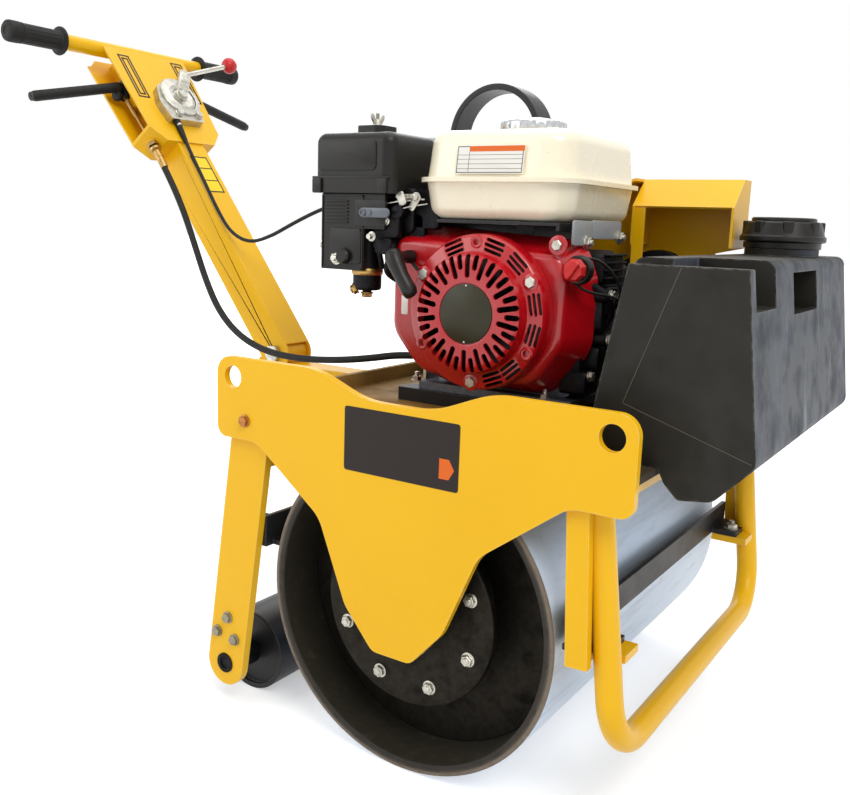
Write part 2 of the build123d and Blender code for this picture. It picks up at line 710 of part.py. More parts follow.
# ---------------------------------------------------------------- belt drive
# x, height, radius, bore of the two pulleys
PULLEYS = [
    (CRANK_X, CRANK_Z, DRIVE_PULLEY_R, CRANKSHAFT_R),
    (PUMP_X, PUMP_Z, PUMP_PULLEY_R, PUMP_SHAFT_R),
]
BELT_Y = PULLEY_Y + (PULLEY_T - BELT_W) / 2
with BuildPart() as pulleys:
    for x, z, radius, bore in PULLEYS:
        with BuildSketch(side(PULLEY_Y)):
            with Locations((x, z)):
                Circle(radius)
                Circle(bore, mode=Mode.SUBTRACT)
        extrude(amount=-PULLEY_T)
        with BuildSketch(side(BELT_Y)):
            with Locations((x, z)):
                Circle(radius + 1.0)
                Circle(radius - BELT_SINK, mode=Mode.SUBTRACT)
        extrude(amount=-BELT_W, mode=Mode.SUBTRACT)
write(pulleys, "pulleys")

with BuildPart() as drive_belt:
    for grow, how in [(BELT_T, Mode.ADD), (0.0, Mode.SUBTRACT)]:
        with BuildSketch(side(BELT_Y)) as loop:
            for x, z, radius, bore in PULLEYS:
                with Locations((x, z)):
                    Circle(radius - BELT_SINK + grow)
            make_hull()
        extrude(amount=-BELT_W, mode=how)
write(drive_belt, "drive_belt")

with BuildPart() as pump:
    with BuildSketch(side(92.0)):
        with Locations((PUMP_X + 10.0, PUMP_Z)):
            Rectangle(48.0, 48.0)
    extrude(amount=42.0)
    with BuildSketch(side(92.0)):
        with Locations((PUMP_X, PUMP_Z)):
            Circle(PUMP_SHAFT_R)
    extrude(amount=-(PULLEY_Y + PULLEY_T + 6.0 - 92.0))
    with BuildSketch(level(DECK_Z)):
        with Locations((118.0, 82.0)):
            Rectangle(24.0, 8.0)
    extrude(amount=PUMP_Z - 20.0 - DECK_Z)
write(pump, "pump")

GUARD_T = 3.0
GUARD_BACK = -38.0
GUARD_STEP = DECK_Z + WATER_RISE + 6.0  # underside of the end cheek, clear of the water tank
VISOR_LOW = GUARD_TOP - 33.0
VISOR_TOP_Y = 130.0
# x, height of the back plate's corners
GUARD_OUTLINE = [
    (GUARD_BACK, DECK_Z),
    (GUARD_BACK, 560.0),
    (0.0, 610.0),
    (85.0, GUARD_TOP),
    (GUARD_END, GUARD_TOP),
    (GUARD_END, GUARD_STEP),
    (172.0, GUARD_STEP - 8.0),
    (172.0, DECK_Z),
]
# across, height of the visor's section
VISOR = [
    (GUARD_NEAR, VISOR_LOW),
    (VISOR_TOP_Y, GUARD_TOP),
    (GUARD_Y, GUARD_TOP),
    (GUARD_Y, GUARD_TOP - GUARD_T),
    (VISOR_TOP_Y + 1.2, GUARD_TOP - GUARD_T),
    (GUARD_NEAR + 2.1, VISOR_LOW - 2.2),
]
with BuildPart() as belt_guard:
    with BuildSketch(side(GUARD_Y)):
        Polygon(*GUARD_OUTLINE, align=None)
    extrude(amount=GUARD_T)
    # the rim runs round the back plate up to the visor
    with BuildSketch(side(GUARD_Y)):
        Polygon(*GUARD_OUTLINE, align=None)
        offset(amount=-GUARD_T, mode=Mode.SUBTRACT)
        with Locations((85.0, DECK_Z)):
            Rectangle(200.0, 400.0, align=(Align.MIN, Align.MIN), mode=Mode.SUBTRACT)
    extrude(amount=GUARD_Y - GUARD_NEAR - 5.0)
    with BuildSketch(front(85.0)):
        Polygon(*VISOR, align=None)
    extrude(amount=GUARD_END - 85.0)
    for x in (85.0, GUARD_END - GUARD_T):
        with BuildSketch(front(x)):
            with BuildLine():
                Polyline(
                    (GUARD_NEAR, GUARD_STEP),
                    (GUARD_NEAR, VISOR_LOW),
                    (VISOR_TOP_Y, GUARD_TOP),
                    (GUARD_Y, GUARD_TOP),
                    (GUARD_Y, GUARD_STEP),
                    close=True,
                )
            make_face()
        extrude(amount=GUARD_T)
    with BuildSketch(level(DECK_Z)):
        with Locations((94.0, GUARD_NEAR + GUARD_T / 2)):
            Rectangle(14.0, GUARD_T)
    extrude(amount=VISOR_LOW - DECK_Z - 2.0)
write(belt_guard, "belt_guard")

ARCH_SPRING = ARCH_TOP - ARCH_R
FOOT_LEN = 34.0
with BuildPart() as lifting_arch:
    with BuildSketch(side(ARCH_Y)):
        for half, how in [(ARCH_R, Mode.ADD), (ARCH_R - ARCH_T, Mode.SUBTRACT)]:
            with Locations((ARCH_X, (DECK_Z + ARCH_SPRING) / 2)):
                Rectangle(2 * half, ARCH_SPRING - DECK_Z, mode=how)
            with Locations((ARCH_X, ARCH_SPRING)):
                Circle(half, mode=how)
        for turn in (-1, 1):
            with Locations((ARCH_X + turn * (ARCH_R - FOOT_LEN / 2), DECK_Z + ARCH_T / 2)):
                Rectangle(FOOT_LEN, ARCH_T)
    extrude(amount=-ARCH_W)
write(lifting_arch, "lifting_arch")

# ---------------------------------------------------------------- water system
WATER_TOP = DECK_Z + WATER_RISE
# x, height, corner radius of the tank seen from the side
WATER_OUTLINE = [
    (180.0, DECK_Z, 6.0),
    (180.0, DECK_Z + 47.0, 20.0),
    (187.0, DECK_Z + 89.0, 60.0),
    (205.0, WATER_TOP, 10.0),
    (WATER_NOSE - 21.0, WATER_TOP, 10.0),
    (WATER_NOSE, DECK_Z + 14.0, 14.0),
    (296.0, DECK_Z - 22.0, 14.0),
    (265.0, DECK_Z - 26.0, 6.0),
    (252.0, DECK_Z - 13.0, 6.0),
    (DECK_FRONT + 2.0, DECK_Z, 3.0),
]
CHEEK_TOP = WATER_TOP - 6.0
# x from, x to, y from, y to, height from, height to of the hollows in the outside
WATER_CUTS = [
    (150.0, 360.0, -230.0, -195.0, CHEEK_TOP, 600.0),
    (240.0, 360.0, -195.0, -125.0, WATER_TOP - 42.0, 600.0),
    (272.0, 360.0, -56.0, 50.0, WATER_TOP - 52.0, WATER_TOP - 12.0),
]


def water_block(gap, grow):
    """Tank shape set in by gap on every side, with the cuts grown by the same gap."""
    with BuildPart() as block:
        with BuildSketch(side(0)):
            with BuildLine():
                FilletPolyline(
                    *[(x, z) for x, z, r in WATER_OUTLINE],
                    radius=[r for x, z, r in WATER_OUTLINE],
                    close=True,
                )
            make_face()
            if gap:
                offset(amount=-gap, mode=Mode.REPLACE)
        extrude(amount=WATER_HALF_W - gap, both=True)
        for x0, x1, y0, y1, z0, z1 in WATER_CUTS:
            with BuildSketch(level(z0 - grow)):
                with Locations(((x0 + x1) / 2, (y0 + y1) / 2)):
                    Rectangle(x1 - x0 + 2 * grow, y1 - y0 + 2 * grow)
            extrude(amount=z1 - z0 + 2 * grow, mode=Mode.SUBTRACT)
    return block.part


with BuildPart() as water_tank:
    add(water_block(0.0, 0.0))
    with BuildSketch(level(WATER_TOP)):
        with Locations((WATER_CAP_X, WATER_CAP_Y)):
            Circle(NECK_R)
    extrude(amount=NECK_H)
    add(water_block(WATER_WALL, WATER_WALL), mode=Mode.SUBTRACT)
    with BuildSketch(level(WATER_TOP + NECK_H)):
        with Locations((WATER_CAP_X, WATER_CAP_Y)):
            Circle(NECK_R - WATER_WALL)
    extrude(amount=-(NECK_H + 2 * WATER_WALL), mode=Mode.SUBTRACT)
write(water_tank, "water_tank")

LUG_COUNT = 8
with BuildPart() as water_tank_cap:
    with BuildSketch(level(WATER_TOP + NECK_H)):
        with Locations((WATER_CAP_X, WATER_CAP_Y)):
            Circle(WATER_CAP_R - 4.0)
            with PolarLocations(WATER_CAP_R - 6.0, LUG_COUNT):
                Rectangle(12.0, 15.0)
    extrude(amount=WATER_CAP_H)
    chamfer(water_tank_cap.faces().sort_by(Axis.Z)[-1].edges(), 1.5)
write(water_tank_cap, "water_tank_cap")

PIPE_R = 8.0
PIPE_X = 168.0
PIPE_Z = DECK_LOW - 23.0
with BuildPart() as sprinkler_pipe:
    with BuildSketch(side(0)):
        with Locations((PIPE_X, PIPE_Z)):
            Circle(PIPE_R)
    extrude(amount=200.0, both=True)
    for across in (-150.0, 150.0):
        with BuildSketch(side(across - 2.0)):
            with Locations((PIPE_X, (PIPE_Z + DECK_LOW) / 2)):
                Rectangle(14.0, DECK_LOW - PIPE_Z)
        extrude(amount=-4.0)
write(sprinkler_pipe, "sprinkler_pipe")

# ---------------------------------------------------------------- handle
FOOT_HALF = 21.0
LOBE_R = 20.0
FOOT_TOP = PIVOT_Z - 14.0
STOP_GAP = 1.0  # between the parked handle and its stop
# x, height: the arm runs from the rear box beam under the deck to the pivot
FOOT_OUTLINE = [
    (CROSS_X - CROSS_W / 2, DECK_LOW - 46.0),
    (CROSS_X - CROSS_W / 2, DECK_LOW),
    (-PLATE_HALF, DECK_LOW),
    (-PLATE_HALF, FOOT_TOP),
    (-424.0, FOOT_TOP),
    (-424.0, FOOT_TOP - 30.0),
]
STOP_D = -BEAM / 2 - STOP_GAP
# climb along the handle, depth: the stop behind the pivot, in the handle's own slope
STOP_OUTLINE = [(-8.0, STOP_D), (13.0, STOP_D), (13.0, STOP_D - 9.0), (-8.0, STOP_D - 9.0)]
handle_side = Plane(
    origin=at(PIVOT_X, 0, PIVOT_Z), x_dir=(-cos(TILT), 0, sin(TILT)), z_dir=(0, 1, 0)
)
with BuildPart() as handle_foot:
    with BuildSketch(side(0)):
        Polygon(*FOOT_OUTLINE, align=None)
        with Locations((PIVOT_X, PIVOT_Z)):
            Circle(LOBE_R)
    extrude(amount=FOOT_HALF, both=True)
    with BuildSketch(handle_side):
        Polygon(*STOP_OUTLINE, align=None)
    extrude(amount=FOOT_HALF, both=True)
    with BuildSketch(side(0)):
        with Locations((PIVOT_X, PIVOT_Z)):
            Circle(PIVOT_R + RUN_FIT)
    extrude(amount=FOOT_HALF, both=True, mode=Mode.SUBTRACT)
write(handle_foot, "handle_foot")

with BuildPart() as pivot_pin:
    with BuildSketch(side(0)):
        with Locations((PIVOT_X, PIVOT_Z)):
            Circle(PIVOT_R)
    extrude(amount=BEAM / 2 + 6.0, both=True)
    with BuildSketch(side(-BEAM / 2)):
        with Locations((PIVOT_X, PIVOT_Z)):
            RegularPolygon(13.0, 6)
    extrude(amount=8.0)
    mirror(about=Plane.XZ)
write(pivot_pin, "pivot_pin")

with BuildPart() as handle_beam:
    with BuildSketch(handle_side):
        with Locations((BEAM_LEN / 2, 0)):
            Rectangle(BEAM_LEN, BEAM)
        Circle(BEAM / 2)
    extrude(amount=BEAM / 2, both=True)
    with BuildSketch(handle_side):
        with Locations((BEAM_LEN / 2, 0)):
            Rectangle(BEAM_LEN + 80.0, BEAM - 2 * BEAM_T)
        Circle(BEAM / 2 - BEAM_T)
    extrude(amount=BEAM / 2 - BEAM_T, both=True, mode=Mode.SUBTRACT)
    # the front wall ends level with the pivot, the rear one a little above it
    with BuildSketch(handle_side):
        with Locations((0, 0)):
            Rectangle(30.0, BEAM + 2.0, align=(Align.MAX, Align.CENTER))
            Rectangle(8.0, BEAM / 2 + 1.0, align=(Align.MIN, Align.MAX))
    extrude(amount=BEAM / 2 - BEAM_T, both=True, mode=Mode.SUBTRACT)
    with BuildSketch(handle_side):
        Circle(PIVOT_R)
    extrude(amount=BEAM / 2, both=True, mode=Mode.SUBTRACT)
write(handle_beam, "handle_beam")

# across, climb: right half of the head plate
HEAD_OUTLINE = [
    (-HEAD_HALF_TOP, HEAD_TOP),
    (-HEAD_HALF_LOW, HEAD_CORNER),
    (-HEAD_HALF_END, HEAD_LOW),
    (HEAD_HALF_END, HEAD_LOW),
    (HEAD_HALF_LOW, HEAD_CORNER),
    (HEAD_HALF_TOP, HEAD_TOP),
]
BACK_OUTLINE = [
    (-HEAD_HALF_TOP, HEAD_BACK_TOP - HEAD_BACK_CUT),
    (-HEAD_HALF_TOP + HEAD_BACK_CUT, HEAD_BACK_TOP),
    (HEAD_HALF_TOP - HEAD_BACK_CUT, HEAD_BACK_TOP),
    (HEAD_HALF_TOP, HEAD_BACK_TOP - HEAD_BACK_CUT),
]
HEAD_FLARE = 23.0  # the hollow runs out past the open sides
FLARE_CLIMB = HEAD_FLARE * (HEAD_CORNER - HEAD_LOW) / (HEAD_HALF_LOW - HEAD_HALF_END)
# across, climb: the hollow between the two plates before the sheet's thickness is taken off
HOLLOW_OUTLINE = [
    (-HEAD_HALF_LOW - HEAD_FLARE, HEAD_TOP + 20.0),
    (-HEAD_HALF_LOW - HEAD_FLARE, HEAD_CORNER + FLARE_CLIMB),
    (-HEAD_HALF_END, HEAD_LOW),
    (HEAD_HALF_END, HEAD_LOW),
    (HEAD_HALF_LOW + HEAD_FLARE, HEAD_CORNER + FLARE_CLIMB),
    (HEAD_HALF_LOW + HEAD_FLARE, HEAD_TOP + 20.0),
]
HOLLOW_DEPTH = HEAD_DEPTH - 2 * SHEET_T
LUG_IN = 30.0  # lugs between the plates carry the bar and the lever shaft
LUG_T = 6.0
LUG_LOW = LEVER_ALONG - 22.0
GLAND_R = 7.0
GLAND_ACROSS = -56.0
GLAND_CLIMB = 353.5
GLAND_LIFT = 6.9
with BuildPart() as handle_head:
    with BuildSketch(along(HEAD_FACE)):
        Polygon(*HEAD_OUTLINE, align=None)
    extrude(amount=-HEAD_DEPTH)
    with BuildSketch(along(HEAD_FACE - HEAD_DEPTH)):
        Polygon(*BACK_OUTLINE, align=None)
    extrude(amount=SHEET_T)
    with BuildSketch(along(BEAM / 2)):
        Polygon(*HOLLOW_OUTLINE, align=None)
        offset(amount=-SHEET_T, mode=Mode.REPLACE)
    extrude(amount=-HOLLOW_DEPTH, mode=Mode.SUBTRACT)
    with BuildSketch(along(BEAM / 2)):
        with Locations((0, HEAD_LOW - 5.0)):
            Rectangle(BEAM, BEAM_LEN - HEAD_LOW + 5.0, align=(Align.CENTER, Align.MIN))
    extrude(amount=-HEAD_DEPTH, mode=Mode.SUBTRACT)
    for near in (-LUG_IN - LUG_T, LUG_IN):
        with BuildSketch(handle_side.offset(near)):
            with Locations((LUG_LOW, BEAM / 2)):
                Rectangle(BAR_ALONG - LUG_LOW, HOLLOW_DEPTH, align=(Align.MIN, Align.MAX))
        extrude(amount=LUG_T)
    with BuildSketch(Plane(origin=on_handle(GLAND_ACROSS, GLAND_CLIMB, GLAND_LIFT), z_dir=handle_side.x_dir)):
        Circle(GLAND_R)
    extrude(amount=9.0)
    with BuildSketch(handle_side):
        with Locations((BAR_ALONG, BAR_LIFT)):
            Circle(BAR_R)
        with Locations((LEVER_ALONG, LEVER_LIFT)):
            Circle(LEVER_R + RUN_FIT)
    extrude(amount=HEAD_HALF_TOP + 5.0, both=True, mode=Mode.SUBTRACT)
write(handle_head, "handle_head")

with BuildPart() as handlebar:
    with BuildSketch(handle_side.offset(BAR_SHIFT)):
        with Locations((BAR_ALONG, BAR_LIFT)):
            Circle(BAR_R)
            Circle(BAR_R - 2.5, mode=Mode.SUBTRACT)
    extrude(amount=BAR_HALF, both=True)
write(handlebar, "handlebar")

GRIP_CAP = 4.0
with BuildPart() as handle_grips:
    for way in (1.0, -1.0):
        # how far out of the bar's middle, length, radius, radius of the bore
        for out, length, radius, bore in [
            (BAR_HALF - GRIP_LEN, GRIP_LEN, GRIP_R, BAR_R),
            (BAR_HALF - GRIP_LEN, 4.0, GRIP_FLANGE_R, BAR_R),
            (BAR_HALF, GRIP_CAP, GRIP_R, 0.0),
        ]:
            with BuildSketch(handle_side.offset(BAR_SHIFT - way * out)):
                with Locations((BAR_ALONG, BAR_LIFT)):
                    Circle(radius)
                    if bore:
                        Circle(bore, mode=Mode.SUBTRACT)
            extrude(amount=-way * length)
write(handle_grips, "handle_grips")

LEVER_BEND = 48.0  # where the arms leave the shaft
LEVER_TIP_ALONG = 439.5
LEVER_TIP_LIFT = -16.0
CRANK_END = (LEVER_ALONG - 14.0, LEVER_LIFT - 8.0)  # where the drive cable's end is held
with BuildPart() as travel_lever:
    with BuildLine() as rod:
        FilletPolyline(
            on_handle(-LEVER_HALF, LEVER_TIP_ALONG, LEVER_TIP_LIFT),
            on_handle(-LEVER_BEND, LEVER_ALONG, LEVER_LIFT),
            on_handle(LEVER_BEND, LEVER_ALONG, LEVER_LIFT),
            on_handle(LEVER_HALF, LEVER_TIP_ALONG, LEVER_TIP_LIFT),
            radius=40.0,
        )
    with BuildSketch(Plane(origin=rod.line @ 0, z_dir=rod.line % 0)):
        Circle(LEVER_R)
    sweep()
    with BuildSketch(handle_side.offset(GLAND_ACROSS - 3.0)):
        with BuildLine():
            crank = Line((LEVER_ALONG, LEVER_LIFT), CRANK_END)
        with Locations(crank @ 0.5):
            SlotCenterToCenter(crank.length, 15.0, rotation=degrees(atan2(8.0, 14.0)))
    extrude(amount=6.0)
write(travel_lever, "travel_lever")

THROTTLE_T = 12.0
THROTTLE_TOP = HEAD_FACE + THROTTLE_T
THROTTLE_PIN = (10.0, 425.0)
THROTTLE_ARM_END = (44.0, 472.0)
THROTTLE_BALL = (138.8, 493.8, 60.0)
# across, climb, corner radius of the housing
THROTTLE_OUTLINE = [
    (-28.0, 382.0, 4.0),
    (36.0, 382.0, 4.0),
    (36.0, 425.0, 8.0),
    (30.0, 452.0, 8.0),
    (2.0, 455.0, 12.0),
    (-24.0, 444.0, 14.0),
    (-34.0, 416.0, 22.0),
]
THROTTLE_CORD = (-15.0, 361.0, 31.7)  # across, climb, depth where the cable enters its sleeve
with BuildPart() as throttle_lever:
    with BuildSketch(along(HEAD_FACE)):
        with BuildLine():
            FilletPolyline(
                *[(across, climb) for across, climb, r in THROTTLE_OUTLINE],
                radius=[r for across, climb, r in THROTTLE_OUTLINE],
                close=True,
            )
        make_face()
    extrude(amount=THROTTLE_T)
    with BuildSketch(along(THROTTLE_TOP)):
        with BuildLine():
            arm = Line(THROTTLE_PIN, THROTTLE_ARM_END)
        with Locations(arm @ 0.5):
            SlotCenterToCenter(arm.length, 19.0, rotation=degrees(atan2(47.0, 34.0)))
    extrude(amount=5.0)
    with BuildSketch(Plane(origin=on_handle(*THROTTLE_CORD), z_dir=handle_side.x_dir)):
        Circle(3.6)
    extrude(amount=22.0)
    with BuildLine() as rod:
        Line(on_handle(*THROTTLE_ARM_END, THROTTLE_TOP + 2.0), on_handle(*THROTTLE_BALL))
    with BuildSketch(Plane(origin=rod.line @ 0, z_dir=rod.line % 0)):
        Circle(3.5)
    sweep()
    with Locations(on_handle(*THROTTLE_BALL)):
        Sphere(12.0)
write(throttle_lever, "throttle_lever")

# ---------------------------------------------------------------- cables
STOP_PLATE_X = -104.0
THROTTLE_END_X = -168.0
with BuildPart() as cable_stops:
    with BuildSketch(front(STOP_PLATE_X)):
        with Locations((-51.0, DECK_Z + 32.0)):
            Rectangle(30.0, 64.0)
    extrude(amount=4.0)
    with BuildSketch(front(THROTTLE_END_X)):
        with Locations((-29.0, CRANK_Z + 111.5)):
            Rectangle(16.0, 33.0)
    extrude(amount=4.0)
    add(cylinder.part, mode=Mode.SUBTRACT)
write(cable_stops, "cable_stops")

CORD_GAP = 0.4  # cord end to the plate that holds it
# x, y, height above the deck of the corners, from the handle head to the frame
DRIVE_ROUTE = [
    (-561.0, -57.0, 263.0),
    (-530.0, -58.0, 214.0),
    (-506.0, -59.0, 164.0),
    (-482.0, -62.0, 118.0),
    (-452.0, -67.0, 78.0),
    (-410.0, -72.0, 48.0),
    (-356.0, -76.0, 31.0),
    (-297.0, -75.0, 27.0),
    (-240.0, -70.0, 30.5),
    (-190.0, -62.0, 37.5),
    (-147.0, -52.5, 46.5),
    (STOP_PLATE_X - CORD_GAP, -50.0, 48.0),
]
THROTTLE_ROUTE = [
    (-551.0, -18.0, 289.0),
    (-523.0, -21.0, 252.0),
    (-495.0, -25.0, 216.0),
    (-468.0, -28.0, 187.0),
    (-432.0, -28.5, 173.0),
    (-393.0, -28.0, 182.0),
    (-350.0, -28.0, 202.0),
    (-306.0, -28.5, 220.0),
    (-262.0, -29.0, 233.0),
    (-215.0, -30.0, 238.0),
    (THROTTLE_END_X - CORD_GAP, -30.0, 237.0),
]


def cord(start, route, width, name):
    """Tube along straight runs joined by arcs that touch them."""
    points = [start] + [at(x, y, DECK_Z + z) for x, y, z in route]
    runs = [second - first for first, second in zip(points, points[1:])]
    radii = []
    for before, after in zip(runs, runs[1:]):
        turn = radians(before.get_angle(after))
        radii.append(0.45 * min(before.length, after.length) / tan(turn / 2))
    print(name, "radii", [round(radius) for radius in radii])
    with BuildPart() as built:
        with BuildLine() as path:
            FilletPolyline(*points, radius=radii)
        with BuildSketch(Plane(origin=path.line @ 0, z_dir=path.line % 0)):
            Circle(width / 2)
        sweep()
    length = sum(edge.length for edge in path.edges())
    print(name, "volume", round(built.part.volume), "of", round(length * pi * width**2 / 4))
    write(built, name)


cord(on_handle(GLAND_ACROSS, GLAND_CLIMB - CORD_GAP, GLAND_LIFT), DRIVE_ROUTE, DRIVE_CABLE_D, "drive_cable")
across, climb, depth = THROTTLE_CORD
cord(on_handle(across, climb - CORD_GAP, depth), THROTTLE_ROUTE, THROTTLE_CABLE_D, "throttle_cable")
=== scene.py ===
"""Looks of the walk-behind vibratory roller: camera, cables, materials, detail pieces, stage and light."""
import json
from math import atan2, cos, degrees, hypot, radians, sin, tau

import bmesh
import bpy
from mathutils import Matrix, Vector


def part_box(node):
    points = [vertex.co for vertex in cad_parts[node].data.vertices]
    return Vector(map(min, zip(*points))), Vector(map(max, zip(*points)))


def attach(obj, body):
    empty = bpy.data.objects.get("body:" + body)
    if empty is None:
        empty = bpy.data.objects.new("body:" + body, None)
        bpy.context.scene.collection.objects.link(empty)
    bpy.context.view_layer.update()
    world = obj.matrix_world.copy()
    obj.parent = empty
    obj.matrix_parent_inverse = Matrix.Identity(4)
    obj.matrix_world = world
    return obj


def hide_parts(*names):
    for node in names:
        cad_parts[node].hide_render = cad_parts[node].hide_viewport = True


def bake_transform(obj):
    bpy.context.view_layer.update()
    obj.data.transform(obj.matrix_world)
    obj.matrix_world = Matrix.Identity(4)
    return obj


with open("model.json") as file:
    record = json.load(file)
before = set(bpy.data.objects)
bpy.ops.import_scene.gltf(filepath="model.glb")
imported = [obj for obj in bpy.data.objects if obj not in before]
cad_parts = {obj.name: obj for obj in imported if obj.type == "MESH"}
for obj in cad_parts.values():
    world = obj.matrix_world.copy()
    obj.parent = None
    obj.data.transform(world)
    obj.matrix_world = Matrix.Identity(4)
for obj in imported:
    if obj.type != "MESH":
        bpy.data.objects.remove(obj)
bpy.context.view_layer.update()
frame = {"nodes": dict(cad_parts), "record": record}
NODES = frame["nodes"]

# ---------------- places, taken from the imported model
_lo, _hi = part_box("drum_shell")
AXLE = (_lo + _hi) / 2
_lo, _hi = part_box("pivot_pin")
PIVOT = (_lo + _hi) / 2
TILT = radians(52.6)  # the handle's rise from the level
UP_BEAM = Vector((-cos(TILT), 0, sin(TILT)))
OFF_BEAM = Vector((sin(TILT), 0, cos(TILT)))
AHEAD, LEFT, UP = Vector((1, 0, 0)), Vector((0, 1, 0)), Vector((0, 0, 1))


def at(x, y, z):
    """Point in millimetres ahead of the drum axis, to the left and up from the floor."""
    return Vector((AXLE.x + x / 1000, y / 1000, z / 1000))


def line_at(*places):
    """Points of a line, each as at() takes it."""
    return [at(*place) for place in places]


def on_handle(across, climb, depth):
    """Point in millimetres across the handle, up it from the pivot, and above the beam's middle."""
    return PIVOT + LEFT * across / 1000 + UP_BEAM * climb / 1000 + OFF_BEAM * depth / 1000


def linear(r, g, b):
    """Linear colour of red, green and blue as a screen shows them, from 0 to 255."""
    return tuple(((c / 255 + 0.055) / 1.055) ** 2.4 if c > 10 else c / 255 / 12.92 for c in (r, g, b))


def link(name, data):
    """A new object in the scene that holds this data."""
    obj = bpy.data.objects.new(name, data)
    bpy.context.scene.collection.objects.link(obj)
    return obj


# ---------------- camera
YAW, PITCH, ROLL = (radians(a) for a in (33.21, 10.62, 1.96))
CAMERA_AT = at(512.5, -1002.1, 575.2)
ahead = Vector((-sin(YAW) * cos(PITCH), cos(YAW) * cos(PITCH), -sin(PITCH)))
right = Vector((cos(YAW), sin(YAW), 0))
above = right.cross(ahead)
cam_x = right * cos(ROLL) + above * sin(ROLL)
cam_y = above * cos(ROLL) - right * sin(ROLL)
cam_data = bpy.data.cameras.new("camera")
cam_data.lens = 39.44
cam_data.sensor_width = 36
cam_data.clip_start = 0.05
camera = link("camera", cam_data)
turn = Matrix((cam_x, cam_y, -ahead)).transposed().to_4x4()
camera.matrix_world = Matrix.Translation(CAMERA_AT) @ turn
bpy.context.scene.camera = camera
bpy.context.scene.view_settings.view_transform = "Standard"


# ---------------- local places
def place(x_way, y_way, z_way, origin):
    """Matrix from local millimetres, along three directions, to the row frame."""
    turned = Matrix((x_way, y_way, z_way)).transposed() * 0.001
    return Matrix.Translation(origin) @ turned.to_4x4()


def near(x, y, z):
    """On a face that looks to the machine's right: local x ahead, y up, z out of the face."""
    return place(AHEAD, UP, -LEFT, at(x, y, z))


def far(x, y, z):
    """On a face that looks to the machine's left."""
    return place(-AHEAD, UP, LEFT, at(x, y, z))


def top(x, y, z):
    """On a level face: local x ahead, y left, z up."""
    return place(AHEAD, LEFT, UP, at(x, y, z))


def front(x, y, z):
    """On a face that looks ahead: local x left, y up, z ahead."""
    return place(LEFT, UP, AHEAD, at(x, y, z))


def slope(across, climb, depth):
    """On the upper face of the handle: local x across, y up the beam, z off it."""
    return place(LEFT, UP_BEAM, OFF_BEAM, on_handle(across, climb, depth))


def along(start, end):
    """Local z runs from one point to another."""
    z_way = (end - start).normalized()
    x_way = z_way.orthogonal().normalized()
    return place(x_way, z_way.cross(x_way), z_way, start)


# ---------------- mesh tools
def oblong(length, width, corner, x=0, y=0, turn=0, steps=4):
    """Outline of a rectangle with round corners, about (x, y), turned by degrees."""
    c, s = cos(radians(turn)), sin(radians(turn))
    corner = min(corner, length / 2 - 0.01, width / 2 - 0.01)
    outline = []
    for quarter, (sx, sy) in enumerate(((1, 1), (-1, 1), (-1, -1), (1, -1))):
        mid_x, mid_y = sx * (length / 2 - corner), sy * (width / 2 - corner)
        for step in range(steps + 1):
            angle = radians(90 * quarter + 90 * step / steps)
            px, py = mid_x + corner * cos(angle), mid_y + corner * sin(angle)
            outline.append((x + px * c - py * s, y + px * s + py * c))
    return outline


def polar(radius, angle):
    return radius * cos(radians(angle)), radius * sin(radians(angle))


def disc(radius, x=0, y=0, steps=24):
    around = (polar(radius, 360 * i / steps) for i in range(steps))
    return [(x + dx, y + dy) for dx, dy in around]


